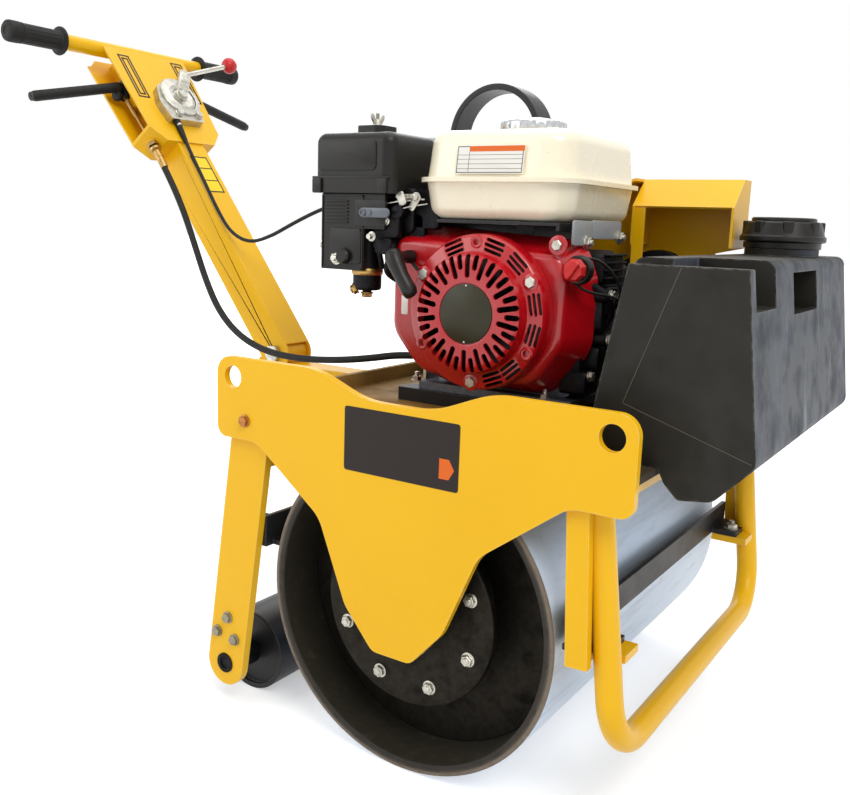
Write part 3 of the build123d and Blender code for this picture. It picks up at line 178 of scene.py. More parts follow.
class Solid:
    """Mesh parts gathered in local millimetres and made into one piece."""

    def __init__(self):
        self.bm = bmesh.new()

    def skin(self, where, rows, loop=False):
        """Faces from one row of points to the next, and over both ends; a row of one point is a tip."""
        made = [[self.bm.verts.new(where @ Vector(point)) for point in row] for row in rows]
        pairs = list(zip(made, made[1:]))
        if loop:
            pairs.append((made[-1], made[0]))
        for low, high in pairs:
            count = max(len(low), len(high))
            for i in range(count):
                j = (i + 1) % count
                around = (low[i % len(low)], low[j % len(low)], high[j % len(high)], high[i % len(high)])
                corners = list(dict.fromkeys(around))
                if len(corners) > 2:
                    self.bm.faces.new(corners)
        if not loop:
            for row in (made[0], made[-1]):
                if len(row) > 2:
                    self.bm.faces.new(row)
        return self

    def lathe(self, where, profile, steps=32, loop=False, turn=0):
        """Turns rows of radius and height about local z; a third number sinks every other step."""
        rows = []
        for radius, height, *flute in profile:
            if radius < 0.001:
                rows.append([(0, 0, height)])
                continue
            sink = flute[0] if flute else 0
            row = []
            for i in range(steps):
                angle = radians(turn) + tau * i / steps
                reach = radius - (sink if i % 4 > 1 else 0)
                row.append((reach * cos(angle), reach * sin(angle), height))
            rows.append(row)
        return self.skin(where, rows, loop=loop)

    def slab(self, where, outline, low, high):
        return self.skin(where, [[(x, y, z) for x, y in outline] for z in (low, high)])

    def pad(self, where, length, width, corner, low, high, soft, **more):
        """A slab with round corners and rounded rims; more goes to its outline."""
        rows = []
        for inset, z in ((soft, low), (soft * 0.3, low + soft * 0.3), (0, low + soft),
                         (0, high - soft), (soft * 0.3, high - soft * 0.3), (soft, high)):
            outline = oblong(length - 2 * inset, width - 2 * inset, corner, **more)
            rows.append([(x, y, z) for x, y in outline])
        return self.skin(where, rows)

    def bar(self, where, start, end, width, height, low=0):
        """A straight raised line on a face, from one local point to another, low above the face."""
        (ax, ay), (bx, by) = start, end
        turn = degrees(atan2(by - ay, bx - ax))
        length = hypot(bx - ax, by - ay)
        flat = oblong(length + width, width, 0.2, (ax + bx) / 2, (ay + by) / 2, turn, 1)
        return self.slab(where, flat, low, low + height)

    def box_lines(self, where, x0, y0, x1, y1, width, height):
        """The outline of a rectangle in raised lines."""
        corners = [(x0, y0), (x1, y0), (x1, y1), (x0, y1)]
        for start, end in zip(corners, corners[1:] + corners[:1]):
            self.bar(where, start, end, width, height)
        return self

    def tube(self, line, radius, steps=12):
        """A round rod along points of the row frame; its radius is one number, or one for each point."""
        radii = radius if isinstance(radius, (list, tuple)) else [radius] * len(line)
        ways = []
        for i in range(len(line)):
            ways.append((line[min(i + 1, len(line) - 1)] - line[max(i - 1, 0)]).normalized())
        side = ways[0].orthogonal().normalized()
        rows = []
        for point, way, reach in zip(line, ways, radii):
            side = (side - way * side.dot(way)).normalized()
            other = way.cross(side)
            row = []
            for i in range(steps):
                angle = tau * i / steps
                row.append(point + (side * cos(angle) + other * sin(angle)) * reach / 1000)
            rows.append(row)
        return self.skin(Matrix.Identity(4), rows)

    def bolt(self, where, size=8, stud=0, turn=12):
        """Washer and hexagon head for a screw of that diameter; stud is thread that stands out of a nut."""
        wide, tall = size * 0.92, size * 0.62
        self.lathe(where, [(0, 0), (size * 1.1, 0), (size * 1.1, 1.2), (size * 0.95, 1.7), (0, 1.7)], 20)
        head = [(0, 1.7), (wide, 1.7), (wide, 1.7 + tall * 0.8), (wide * 0.84, 1.7 + tall), (0, 1.7 + tall)]
        self.lathe(where, head, 6, turn=turn)
        if stud:
            rod = [(0, tall)]
            for ring in range(int(stud)):
                rod += [(size * 0.5, 1.7 + tall + ring), (size * 0.43, 2.2 + tall + ring)]
            self.lathe(where, rod + [(0, 1.7 + tall + stud)], 12)
        return self

    def mesh(self, name):
        """The gathered parts as a mesh; the solid is used up."""
        bmesh.ops.recalc_face_normals(self.bm, faces=self.bm.faces)
        mesh = bpy.data.meshes.new(name)
        self.bm.to_mesh(mesh)
        self.bm.free()
        return mesh

    def make(self, name, look, slot=None, body="frame", bevel=0, replaces=(), crease=32):
        """One piece on a body; the slot argument is not used."""
        slot = slot or look
        mesh = self.mesh(name)
        mesh.materials.append(LOOKS[look])
        obj = link(name, mesh)
        finish_piece(obj, bevel, crease)
        if body:
            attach(obj, body)
        if replaces:
            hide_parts(*replaces)
        return obj


def finish_piece(obj, bevel, crease):
    """Smooth faces; sharp edges are rounded by bevel, or kept sharp from the crease angle on."""
    for face in obj.data.polygons:
        face.use_smooth = True
    if bevel:
        soften(obj, bevel, crease)
    else:
        obj.data.set_sharp_from_angle(angle=radians(crease))


def soften(obj, width, angle=35):
    """Rounds an object's sharp edges, by a width in millimetres, with modifiers."""
    weld = obj.modifiers.new("weld", "WELD")
    weld.merge_threshold = 0.00002
    bevel = obj.modifiers.new("bevel", "BEVEL")
    bevel.width = width / 1000
    bevel.segments = 2
    bevel.limit_method = "ANGLE"
    bevel.angle_limit = radians(angle)
    bevel.use_clamp_overlap = True
    smooth = obj.modifiers.new("normals", "WEIGHTED_NORMAL")
    smooth.keep_sharp = False


def smooth_line(name, points):
    """Points along the smooth spline that has these control points."""
    curve = bpy.data.curves.new(name, "CURVE")
    curve.dimensions = "3D"
    curve.resolution_u = 8
    spline = curve.splines.new("NURBS")
    spline.points.add(len(points) - 1)
    for knot, point in zip(spline.points, points):
        knot.co = (*point, 1)
    spline.order_u = 3
    spline.use_endpoint_u = True
    holder = link(name, curve)
    bpy.context.view_layer.update()
    line = bpy.data.meshes.new_from_object(holder)
    read = [vertex.co.copy() for vertex in line.vertices]
    bpy.data.meshes.remove(line)
    bpy.data.objects.remove(holder)
    bpy.data.curves.remove(curve)
    return read


# ---------------- cables
DRIVE_ROUTE = [on_handle(-56, 353.1, 6.9)] + line_at(
    (-561, -57, 629), (-530, -58, 580), (-506, -59, 530), (-482, -62, 484), (-452, -67, 444),
    (-410, -72, 414), (-356, -76, 397), (-297, -75, 393), (-240, -70, 396.5), (-190, -62, 403.5),
    (-147, -52.5, 412.5), (-104.4, -50, 414))
THROTTLE_ROUTE = [on_handle(-15, 360.6, 31.7)] + line_at(
    (-551, -18, 655), (-523, -21, 618), (-495, -25, 582), (-468, -28, 553), (-432, -28.5, 539),
    (-393, -28, 548), (-350, -28, 568), (-306, -28.5, 586), (-262, -29, 599), (-215, -30, 604),
    (-168.4, -30, 603))
# node, route, diameter and length in millimetres
CABLES = [("drive_cable", DRIVE_ROUTE, 9, 631), ("throttle_cable", THROTTLE_ROUTE, 5, 489)]


def lay_cables():
    for node, points, wide, length in CABLES:
        line = smooth_line(node, points)
        hose = Solid().tube(line, wide / 2, 16)
        piece = hose.make(node + "_hose", "rubber", body=None, crease=60, replaces=(node,))
        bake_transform(piece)


# ---------------- material tools
LOOKS = {}


class Look:
    """A node material on object coordinates, with a few short calls to build its detail."""

    def __init__(self, name, colour, rough=0.5, metal=0, coat=0, coat_rough=0.1, specular=0.5):
        self.name = name
        self.mat = bpy.data.materials.new(name)
        self.mat.use_nodes = True
        self.tree = self.mat.node_tree
        self.shader = self.tree.nodes["Principled BSDF"]
        for socket, value in (("Metallic", metal), ("Coat Weight", coat), ("Coat Roughness", coat_rough),
                              ("Specular IOR Level", specular)):
            self.shader.inputs[socket].default_value = value
        self.where = self.node("TexCoord").outputs["Object"]
        self.colour = colour
        self.rough = rough
        self.height = None

    def node(self, kind, *sockets, **settings):
        """A new node; its first sockets or, from one dictionary, the named ones get their values."""
        made = self.tree.nodes.new("ShaderNode" + kind)
        for key, value in settings.items():
            setattr(made, key, value)
        named = sockets[0] if sockets and isinstance(sockets[0], dict) else dict(enumerate(sockets))
        for key, value in named.items():
            self.put(made.inputs[key], value)
        return made

    def put(self, socket, value):
        """Sets a socket to another node's output, a number or a colour, on screen or linear with alpha."""
        if isinstance(value, bpy.types.NodeSocket):
            self.tree.links.new(value, socket)
        elif socket.type == "RGBA" and len(value) == 3:
            socket.default_value = (*linear(*value), 1)
        else:
            socket.default_value = value

    def maths(self, how, a, b=0):
        return self.node("Math", a, b, operation=how).outputs[0]

    def times(self, a, b):
        return self.maths("MULTIPLY", a, b)

    def reach(self, a, b):
        """Distance from nought of the point (a, b)."""
        return self.maths("SQRT", self.maths("ADD", self.times(a, a), self.times(b, b)))

    def noise(self, scale, detail=3, stretch=(1, 1, 1), rough=0.55):
        """Cloudy values about a half; a stretch below 1 draws the clouds out that way."""
        drawn = self.node("Mapping", {"Vector": self.where, "Scale": stretch}).outputs[0]
        sockets = {"Vector": drawn, "Scale": scale, "Detail": detail, "Roughness": rough}
        return self.node("TexNoise", sockets).outputs["Fac"]

    def cells(self, scale):
        """Distance from scattered points, in their own spacing."""
        return self.node("TexVoronoi", {"Vector": self.where, "Scale": scale}).outputs["Distance"]

    def band(self, value, low, high, out_low=0, out_high=1):
        """value from low to high becomes out_low to out_high, and no further."""
        return self.node("MapRange", value, low, high, out_low, out_high, clamp=True).outputs[0]

    def axes(self, vector=None):
        """The three numbers of a vector, or of the place."""
        return self.node("SeparateXYZ", vector or self.where).outputs

    def edges(self, reach):
        """One near sharp edges, within reach millimetres, and nought on the flat."""
        rounded = self.node("Bevel", {"Radius": reach / 1000}, samples=4).outputs[0]
        true = self.node("NewGeometry").outputs["True Normal"]
        facing = self.node("VectorMath", rounded, true, operation="DOT_PRODUCT")
        return self.band(facing.outputs["Value"], 0.99, 0.80)

    def tint(self, share, colour):
        """Lays a colour over what is there, by share."""
        sockets = {"Factor": share, "A": self.colour, "B": colour}
        self.colour = self.node("Mix", sockets, data_type="RGBA").outputs["Result"]

    def roughen(self, share, rough):
        """Moves the roughness to another, by share."""
        sockets = {"Factor": share, "A": self.rough, "B": rough}
        self.rough = self.node("Mix", sockets).outputs["Result"]

    def raise_by(self, value, amount):
        """Adds value times amount, in millimetres, to the bump height."""
        step = self.times(value, amount / 1000)
        self.height = step if self.height is None else self.maths("ADD", self.height, step)

    def done(self):
        """Joins what was built to the shader and files the look under its name."""
        self.put(self.shader.inputs["Base Color"], self.colour)
        self.put(self.shader.inputs["Roughness"], self.rough)
        if self.height is not None:
            bump = self.node("Bump", {"Distance": 1, "Height": self.height})
            self.put(self.shader.inputs["Normal"], bump.outputs[0])
        LOOKS[self.name] = self.mat


def paint(name, colour, dark, chip, rough=0.32, coat=0.35, dirt=0.2, peel=0.03, worn=0, specular=0.5):
    """Sprayed paint: cloudy shade, orange peel, dusty patches, a few small chips, worn edges."""
    look = Look(name, colour, rough, coat=coat, coat_rough=0.18, specular=specular)
    look.tint(look.band(look.noise(6, 3), 0.35, 0.75, 0, 0.14), dark)
    dust = look.noise(22, 6, rough=0.7)
    look.tint(look.band(dust, 0.58, 0.8, 0, dirt), dark)
    look.roughen(look.band(dust, 0.5, 0.75, 0, 0.6), min(rough + 0.2, 1))
    if worn:
        ragged = look.band(look.noise(150, 4, rough=0.7), 0.40, 0.62)
        look.tint(look.times(look.times(look.edges(2.2), ragged), worn), chip)
    rare = look.band(look.noise(38, 2), 0.68, 0.73)
    chips = look.times(look.band(look.cells(150), 0.13, 0.09), rare)
    look.tint(look.times(chips, 0.7), chip)
    look.raise_by(look.noise(380, 2), peel)
    look.raise_by(chips, -0.04)
    look.done()


def metal(name, colour, dark, rough=0.38, grain=(1, 1, 1), stain=0.5, fine=0.03):
    """Bare or plated metal with drawn grain, stains and small knocks."""
    look = Look(name, colour, rough, metal=1)
    lines = look.noise(160, 3, grain)
    look.tint(look.band(lines, 0.35, 0.7, 0, 0.35), dark)
    stains = look.noise(34, 5, rough=0.65)
    look.tint(look.band(stains, 0.52, 0.75, 0, stain), dark)
    look.roughen(look.band(stains, 0.45, 0.75), min(rough + 0.3, 1))
    look.raise_by(lines, fine)
    look.raise_by(look.band(look.cells(90), 0.12, 0), -0.08)
    look.done()


def plastic(name, colour, pale, rough=0.5, grain=0.05, scuff=0.3, specular=0.4):
    """Moulded plastic: fine texture, pale scuffs and a little dust."""
    look = Look(name, colour, rough, specular=specular)
    look.tint(look.band(look.noise(7, 4), 0.4, 0.8, 0, 0.2), pale)
    rubs = look.noise(40, 5, (1, 0.6, 2), 0.7)
    look.tint(look.band(rubs, 0.58, 0.78, 0, scuff), pale)
    look.roughen(look.band(rubs, 0.5, 0.8), min(rough + 0.2, 1))
    look.raise_by(look.noise(700, 2), grain)
    look.raise_by(look.noise(60, 3), grain * 2)
    look.done()


def rubber(name, colour, dusty):
    """Matt rubber with dust in its grain."""
    look = Look(name, colour, 0.6, specular=0.35)
    dust = look.noise(90, 5, rough=0.7)
    look.tint(look.band(dust, 0.5, 0.8, 0, 0.4), dusty)
    look.roughen(look.band(dust, 0.4, 0.8), 0.85)
    look.raise_by(look.noise(900, 2), 0.04)
    look.done()


def printed(name, colour, pale):
    """A stuck-on film: even colour, a few rubs, slight waves."""
    look = Look(name, colour, 0.35, specular=0.25)
    rubs = look.noise(120, 5, (1, 1, 3), 0.75)
    look.tint(look.band(rubs, 0.6, 0.8, 0, 0.3), pale)
    look.roughen(look.band(rubs, 0.5, 0.8), 0.6)
    look.raise_by(look.noise(70, 2), 0.12)
    look.done()


# in metres: the flat of the drum's rim, from the middle, and radii of its bands
RIM_FROM = 0.2486
RIM_BRIGHT = (0.1692, 0.1712)
RIM_DARK = (0.1690, 0.1670)
DRUM_INSIDE = 0.1735


def drum_look():
    """Rolled steel: cloudy mill scale outside, dark inside the shell, brown worn rim."""
    look = Look("drum_steel", (196, 216, 242), 0.40, metal=0.25)
    look.tint(look.band(look.noise(9, 5, (1, 0.35, 1)), 0.35, 0.7, 0, 0.75), (218, 234, 252))
    look.tint(look.band(look.noise(60, 4, (1, 0.1, 1), 0.7), 0.5, 0.75, 0, 0.35), (120, 128, 140))
    look.tint(look.band(look.noise(24, 6, (1, 0.5, 1), 0.75), 0.60, 0.74, 0, 0.6), (104, 92, 80))
    x, y, z = look.axes()
    reach = look.reach(look.maths("SUBTRACT", x, AXLE.x), look.maths("SUBTRACT", z, AXLE.z))
    grime = look.noise(70, 6, rough=0.75)
    rim = look.maths("GREATER_THAN", look.maths("ABSOLUTE", y), RIM_FROM)
    look.tint(rim, (70, 60, 48))
    look.tint(look.times(rim, look.band(grime, 0.46, 0.62, 0, 0.85)), (30, 26, 22))
    bright = look.times(rim, look.band(reach, *RIM_BRIGHT))
    look.tint(look.times(bright, look.band(grime, 0.30, 0.55, 0.4, 0.9)), (124, 112, 98))
    look.tint(look.times(rim, look.band(reach, *RIM_DARK, 0, 0.8)), (26, 23, 19))
    inside = look.times(look.maths("LESS_THAN", reach, DRUM_INSIDE), look.maths("SUBTRACT", 1, rim))
    look.tint(inside, (44, 40, 30))
    look.tint(look.times(inside, look.band(grime, 0.5, 0.7, 0, 0.5)), (74, 66, 58))
    look.roughen(look.maths("MAXIMUM", inside, rim), 0.62)
    look.roughen(look.band(grime, 0.5, 0.8, 0, 0.6), 0.7)
    look.raise_by(grime, 0.15)
    look.raise_by(look.noise(14, 3, (1, 0.3, 1)), 0.35)
    look.done()


def tank_look():
    """Roto-moulded tank: dark brownish sides, the faces that look ahead painted lighter bluish grey and
    streaked as a painted sky reflection, pale rubs at the edges.
    """
    look = Look("tank_plastic", (22, 20, 13), 0.5, specular=0.3)
    # painted sky reflection: faces that look ahead, by their normal, are tinted lighter bluish grey with
    # paler streaks
    ahead = look.band(look.axes(look.node("TexCoord").outputs["Normal"])[0], 0.35, 0.9)
    look.tint(look.band(look.noise(20, 4), 0.4, 0.75, 0, 0.25), (60, 57, 50))
    look.tint(ahead, (44, 49, 56))
    runs = look.band(look.noise(22, 5, (1, 1, 0.18), 0.65), 0.42, 0.70)
    look.tint(look.times(ahead, look.times(runs, 0.6)), (72, 78, 88))
    fine = look.band(look.noise(64, 5, (1, 1, 0.10), 0.7), 0.58, 0.74)
    look.tint(look.times(ahead, look.times(fine, 0.6)), (134, 140, 148))
    look.tint(look.band(look.noise(90, 6, rough=0.8), 0.60, 0.72, 0, 0.45), (26, 25, 23))
    rubs = look.times(look.edges(3), look.band(look.noise(110, 4, rough=0.7), 0.42, 0.6))
    look.tint(look.times(rubs, 0.5), (140, 140, 136))
    look.roughen(look.band(look.noise(30, 5), 0.45, 0.7), 0.72)
    look.raise_by(look.noise(500, 2), 0.05)
    look.raise_by(look.noise(26, 3), 0.5)
    look.done()


SHADE_FROM, SHADE_TO = 0.06, 0.13  # metres ahead of the drum's axis, the band where the deck is painted dark as painted shade under the tank


def deck_look():
    """Yellow paint under brown dust, and painted dark ahead of the engine as painted shade under the tank."""
    look = Look("deck_paint", (160, 120, 52), 0.6, specular=0.3)
    dust = look.noise(26, 6, rough=0.7)
    look.tint(look.band(dust, 0.38, 0.66, 0, 0.8), (116, 92, 50))
    look.tint(look.band(look.noise(9, 4, (1, 0.3, 1)), 0.55, 0.75, 0, 0.6), (196, 168, 104))
    # painted shade: the deck's front, under the tank, turns near black
    under_tank_shade = look.band(look.axes()[0], AXLE.x + SHADE_FROM, AXLE.x + SHADE_TO, 0, 0.92)
    look.tint(under_tank_shade, (30, 28, 24))
    look.roughen(look.band(dust, 0.4, 0.7), 0.85)
    look.raise_by(look.noise(300, 3), 0.08)
    look.done()


# ---------------- looks of this machine
STEEL = (96, 92, 88)
BARE = (226, 206, 140)
WORN = (112, 106, 98)
paint("yellow_paint", (244, 188, 8), (222, 160, 8), BARE, 0.34, 0.06, worn=0.9, specular=0.28)
paint("black_paint", (24, 25, 28), (50, 49, 48), WORN, 0.42, 0.04, worn=0.5, specular=0.3)
paint("red_paint", (186, 10, 22), (112, 6, 14), (210, 90, 90), 0.26, 0.4, 0.2, 0.012)
paint("cream_paint", (251, 242, 216), (234, 218, 178), (180, 160, 120), 0.24, 0.4, 0.12)
paint("grey_paint", (150, 154, 156), (104, 104, 102), STEEL, 0.4, 0.1)
paint("blue_steel", (96, 102, 112), (60, 64, 70), STEEL, 0.36, 0.1)
metal("chrome", (206, 208, 210), (120, 122, 126), 0.16, (1, 1, 8), 0.2, 0.01)
metal("cast_alloy", (104, 110, 120), (52, 54, 58), 0.5, stain=0.4, fine=0.04)
metal("zinc_steel", (198, 196, 186), (116, 108, 94), 0.34, stain=0.5, fine=0.02)
metal("brass", (186, 152, 92), (96, 70, 36), 0.36, stain=0.6, fine=0.02)
metal("cast_iron", (40, 40, 42), (18, 17, 17), 0.5, stain=0.6, fine=0.08)
metal("hub_steel", (48, 45, 40), (18, 16, 15), 0.55, stain=0.6, fine=0.05)
metal("rust_steel", (176, 120, 70), (96, 56, 26), 0.4, stain=0.6, fine=0.02)
metal("dull_steel", (150, 146, 130), (84, 78, 64), 0.4, stain=0.6, fine=0.02)
plastic("black_plastic", (22, 20, 18), (58, 55, 50), 0.36, 0.03, 0.2, 0.3)
plastic("tank_seam", (74, 68, 58), (110, 104, 92), 0.5, 0.03, 0.3, 0.3)
plastic("red_plastic", (196, 26, 28), (220, 96, 84), 0.35, 0.02, 0.2)
rubber("rubber", (18, 18, 17), (62, 60, 54))
printed("black_film", (32, 22, 18), (86, 76, 68))
printed("badge_film", (52, 50, 34), (96, 92, 74))
printed("white_film", (236, 234, 226), (206, 200, 186))
printed("orange_film", (226, 104, 30), (236, 160, 110))
printed("yellow_film", (250, 214, 30), (236, 190, 60))
drum_look()
tank_look()
deck_look()

EDGE = 1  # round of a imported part's edges, in millimetres
WIDE_EDGES = {"water_tank": 5, "air_cleaner": 2, "intake_cover": 1.5, "fuel_tank": 1.5, "muffler": 2}
SPECIAL_LOOKS = {"deck": "deck_paint", "roller_axle": "cast_iron", "carburetor": "cast_iron"}


def dress_cad():
    """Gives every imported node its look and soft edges; modifiers only, the mesh stays as packed."""
    slot_of = {row["node"]: row["material_slot"] for row in frame["record"]["subparts"]}
    for name, obj in NODES.items():
        look = LOOKS[SPECIAL_LOOKS.get(name, slot_of[name])]
        if not obj.material_slots:
            obj.data.materials.append(look)
        for held in obj.material_slots:
            held.material = look
        soften(obj, WIDE_EDGES.get(name, EDGE))


dress_cad()
lay_cables()

# ---------------- bolts
PLATE_FACE = 268  # outer face of the side plates
LEG_FACE = 260  # outer face of the support legs
HUB_FACE = 240  # outer face of the hub flanges
HUB_RING = 83  # radius of their bolts' circle
AXLE_UP = 175  # the drum's axis above the floor
LEG_BOLTS = ((-241, 109), (-258, 88), (-230, 84))
# ahead, left, height, screw diameter, thread that stands out: two on the bumper, four on the engine's feet
NUTS = [(210, y, 193, 8, 5) for y in (-207, 207)]
NUTS += [(x, y, 390, 6, 6) for y in (-90, 64) for x in (-97, 72)]


def add_bolts():
    """Screw heads and nuts, gathered in one piece for each look and body."""
    plate_bolts = Solid()
    leg_bolts = Solid()
    for turned, way in ((near, -1), (far, 1)):
        plate_bolts.bolt(turned(-205, way * PLATE_FACE, 353), 6.5)
        for x, z in LEG_BOLTS:
            leg_bolts.bolt(turned(x, way * LEG_FACE, z), 6.5)
    plate_bolts.make("plate_bolts", "rust_steel", "zinc_steel")
    leg_bolts.make("leg_bolts", "dull_steel", "zinc_steel")
    frame_bolts = Solid()
    for x, y, z, size, stud in NUTS:
        frame_bolts.bolt(top(x, y, z), size, stud)
    frame_bolts.make("frame_bolts", "zinc_steel")

    drum_bolts = Solid()
    for i in range(8):
        x, z = polar(HUB_RING, 22.5 + 45 * i)
        drum_bolts.bolt(near(x, -HUB_FACE, AXLE_UP + z), 7, 2, turn=20 * i)
        drum_bolts.bolt(far(x, HUB_FACE, AXLE_UP + z), 7, 2, turn=20 * i)
    drum_bolts.make("drum_bolts", "zinc_steel", body="drum")


# ---------------- recoil starter
SHROUD_FACE = -120
CRANK = (7, 482)
# radius and height above the shroud, outside first, then back along the inside
RECOIL_PROFILE = [
    (84.2, 0.4), (84.2, 8), (83.6, 15.5), (82.2, 19.2), (80, 20.6), (67, 21), (65, 22), (64.2, 24.5),
    (63.8, 32), (62.8, 35.6), (60, 37.4), (56, 37.9), (34, 37.9), (32.8, 37.6), (32.4, 36.4), (0, 36.4),
]
RECOIL_WALL = 2.6
DOME_HEIGHT = 19  # above this the wall keeps its radius and is thin in height only
SPOKE_SLOTS = ((38, 63), (46.5, 63))  # inner and outer radius of the dome's slots, long and short by turns
RING_SLOTS = ((68.2, 22), (73.6, 24.5), (79, 23))  # radius and length of the three slots of a group
# middle of each group on the ring, and the bolts and open holes between them
RING_GROUPS = (11, -14, 48, 73, -50, -69, 112)
RING_BOLTS = (29, -90, 150)
RING_HOLES = (90, -30, 211)
BOSS_RING = 75.5
SHROUD_BOLT = (92, 557)


def on_recoil(radius=0, angle=0, out=0):
    """On the shroud, by radius and angle about the crank, and out from its face."""
    x, y = polar(radius, angle)
    return near(CRANK[0] + x, SHROUD_FACE - out, CRANK[1] + y)


def slotted(shell, cutters):
    """The shell's mesh with the cutters taken out of it, exactly."""
    objects = []
    for name, solid in (("shell", shell), ("cutters", cutters)):
        objects.append(link(name, solid.mesh(name)))
    cut = objects[0].modifiers.new("cut", "BOOLEAN")
    cut.operation = "DIFFERENCE"
    cut.solver = "EXACT"
    cut.object = objects[1]
    bpy.context.view_layer.update()
    made = bpy.data.meshes.new_from_object(objects[0].evaluated_get(bpy.context.evaluated_depsgraph_get()))
    for obj in objects:
        mesh = obj.data
        bpy.data.objects.remove(obj)
        bpy.data.meshes.remove(mesh)
    return made


def add_recoil_cover(face):
    inner = [(RECOIL_PROFILE[0][0] - RECOIL_WALL, 0.4)]
    for radius, height in RECOIL_PROFILE[3:]:
        thin = RECOIL_WALL if height < DOME_HEIGHT else 0
        inner.append((radius - thin, height - RECOIL_WALL))
    shell = Solid().lathe(face, RECOIL_PROFILE + list(reversed(inner)), 96, loop=True)
    cutters = Solid()
    for i in range(36):
        low, high = SPOKE_SLOTS[i % 2]
        angle = 10 * i + 10
        x, y = polar((low + high) / 2, angle)
        cutters.slab(face, oblong(high - low, 6, 2.9, x, y, angle), 27, 44)
    for middle in RING_GROUPS:
        for radius, length in RING_SLOTS:
            x, y = polar(radius, middle)
            cutters.slab(face, oblong(length, 3.6, 1.7, x, y, middle + 90, 3), 10, 28)
    for middle in RING_HOLES:
        cutters.slab(face, disc(3.4, *polar(74.5, middle)), 8, 28)
    mesh = slotted(shell, cutters)
    mesh.name = "recoil_cover"
    mesh.materials.clear()
    mesh.materials.append(LOOKS["red_paint"])
    cover = link("recoil_cover", mesh)
    finish_piece(cover, 0, 40)
    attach(cover, "frame")
    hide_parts("recoil_starter")


def add_recoil():
    face = on_recoil()
    add_recoil_cover(face)

    fan = Solid().lathe(face, [(0, 0.3), (80, 0.3), (80, 2), (30, 4), (28, 24), (0, 24)], 48)
    for angle in range(0, 360, 20):
        x, y = polar(48, angle)
        fan.slab(face, oblong(34, 1.8, 0.5, x, y, angle + 14, 1), 2, 13)
    fan.make("recoil_fan", "black_plastic")

    plate = Solid().lathe(face, [(0, 36.2), (31.8, 36.2), (31.8, 37.6), (31, 38.1), (0, 38.3)], 64)
    plate.make("recoil_plate", "badge_film", "black_plastic", crease=50)
    pins = Solid()
    for angle in (90, -90):
        pins.lathe(on_recoil(30, angle), [(1.1, 37.8), (1.1, 38.7), (0.6, 38.9), (0, 38.9)], 12)
    for angle in RING_BOLTS:
        pins.bolt(on_recoil(BOSS_RING, angle, 17.5), 7, turn=angle)
    pins.bolt(near(SHROUD_BOLT[0], SHROUD_FACE, SHROUD_BOLT[1]), 6.5)
    pins.make("recoil_bolts", "zinc_steel")
    bosses = Solid()
    for angle in RING_BOLTS + RING_HOLES:
        rim = [(3.8, 18), (3.8, 21.6), (5.6, 21.9), (7.6, 20.8), (7.8, 17)]
        if angle in RING_BOLTS:
            rim = [(0, 21.6), (7, 21.6), (8.8, 21), (9.2, 17)]
        bosses.lathe(on_recoil(BOSS_RING, angle), rim, 24)
    low_boss = [(10.5, 0), (10, 1.4), (8.6, 1.8), (0, 1.8)]
    bosses.lathe(near(SHROUD_BOLT[0], SHROUD_FACE - 0.2, SHROUD_BOLT[1]), low_boss, 24)
    bosses.make("recoil_bosses", "red_paint")

    label = Solid().pad(near(-97, SHROUD_FACE, 482), 9, 22, 1.5, -0.2, 0.5, 0.15)
    label.make("shroud_label", "white_film", "red_paint")


def add_starter_grip():
    grip = Solid()
    axis = line_at((-92.5, -155, 545), (-91, -156, 542.5), (-88, -157, 537), (-83, -158, 528),
                   (-76, -158.5, 517), (-70, -158.5, 508.5), (-65.5, -158, 501.5), (-62.5, -157, 496.5),
                   (-61.6, -156.5, 495))
    grip.tube(axis, [3, 8.6, 10.4, 9.6, 8.4, 8.6, 9, 7, 3], 20)
    stem = [(7.5, 0), (7.5, 8), (6.5, 10), (6.5, 26), (8.6, 30), (8.6, 40), (0, 40)]
    grip.lathe(near(-89, -121, 537), stem, 20)
    grip.make("starter_tee", "black_plastic", replaces=("starter_grip",), crease=70)
    cord = Solid().tube(line_at((-89, -121.5, 532), (-76, -128, 524), (-62, -131, 516)), 2.2, 10)
    cord.make("starter_rope", "rubber", crease=70)


# ---------------- fuel tank
PANEL_INSET = 6.2  # the near face at the label, from the tank's widest line
PANEL_LEAN = radians(7)
PANEL_LEFT, PANEL_RIGHT, PANEL_LOW, PANEL_HIGH = -39.5, 39.5, -13.5, 13.8  # the outline printed on the panel


def add_fuel_cap():
    low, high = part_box("fuel_cap")
    x, y = ((low + high) / 2).xy
    rise = (high.z - low.z) * 1000
    cap = Solid()
    skirt = [(0, 0.2), (36.5, 0.2), (37.8, 1.2, 0.7), (37.8, 8.5, 0.7), (36.8, 10), (35.6, 11)]
    dish = [(33, 12), (31, 11.4), (29.5, rise - 3.2), (14, rise - 0.8), (0, rise - 0.2)]
    cap.lathe(place(AHEAD, LEFT, UP, Vector((x, y, low.z))), skirt + dish, 96)
    cap.make("fuel_cap_chrome", "chrome", replaces=("fuel_cap",), crease=34)


def add_tank_panel():
    panel_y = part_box("fuel_tank")[0].y * 1000 + PANEL_INSET
    up_face = Vector((0, sin(PANEL_LEAN), cos(PANEL_LEAN)))
    face = place(AHEAD, up_face, AHEAD.cross(up_face), at(8, panel_y, 643))
    panel = Solid().pad(face, 82, 30, 2, -0.4, 0.5, 0.2)
    panel.make("tank_panel", "white_film", "cream_paint")
    header = Solid().slab(face, oblong(66, 5.6, 0.6, 8, 11.4), 0.4, 0.72)
    header.make("tank_panel_header", "orange_film", "red_plastic")
    lines = Solid().box_lines(face, PANEL_LEFT, PANEL_LOW, PANEL_RIGHT, PANEL_HIGH, 0.7, 0.66)
    for y in (5, 0.5, -4.5, -9.5):
        lines.bar(face, (PANEL_LEFT, y), (PANEL_RIGHT, y), 0.35, 0.62)
    lines.bar(face, (-25, PANEL_LOW), (-25, PANEL_HIGH), 0.4, 0.64)
    lines.make("tank_panel_lines", "black_film", "black_plastic")


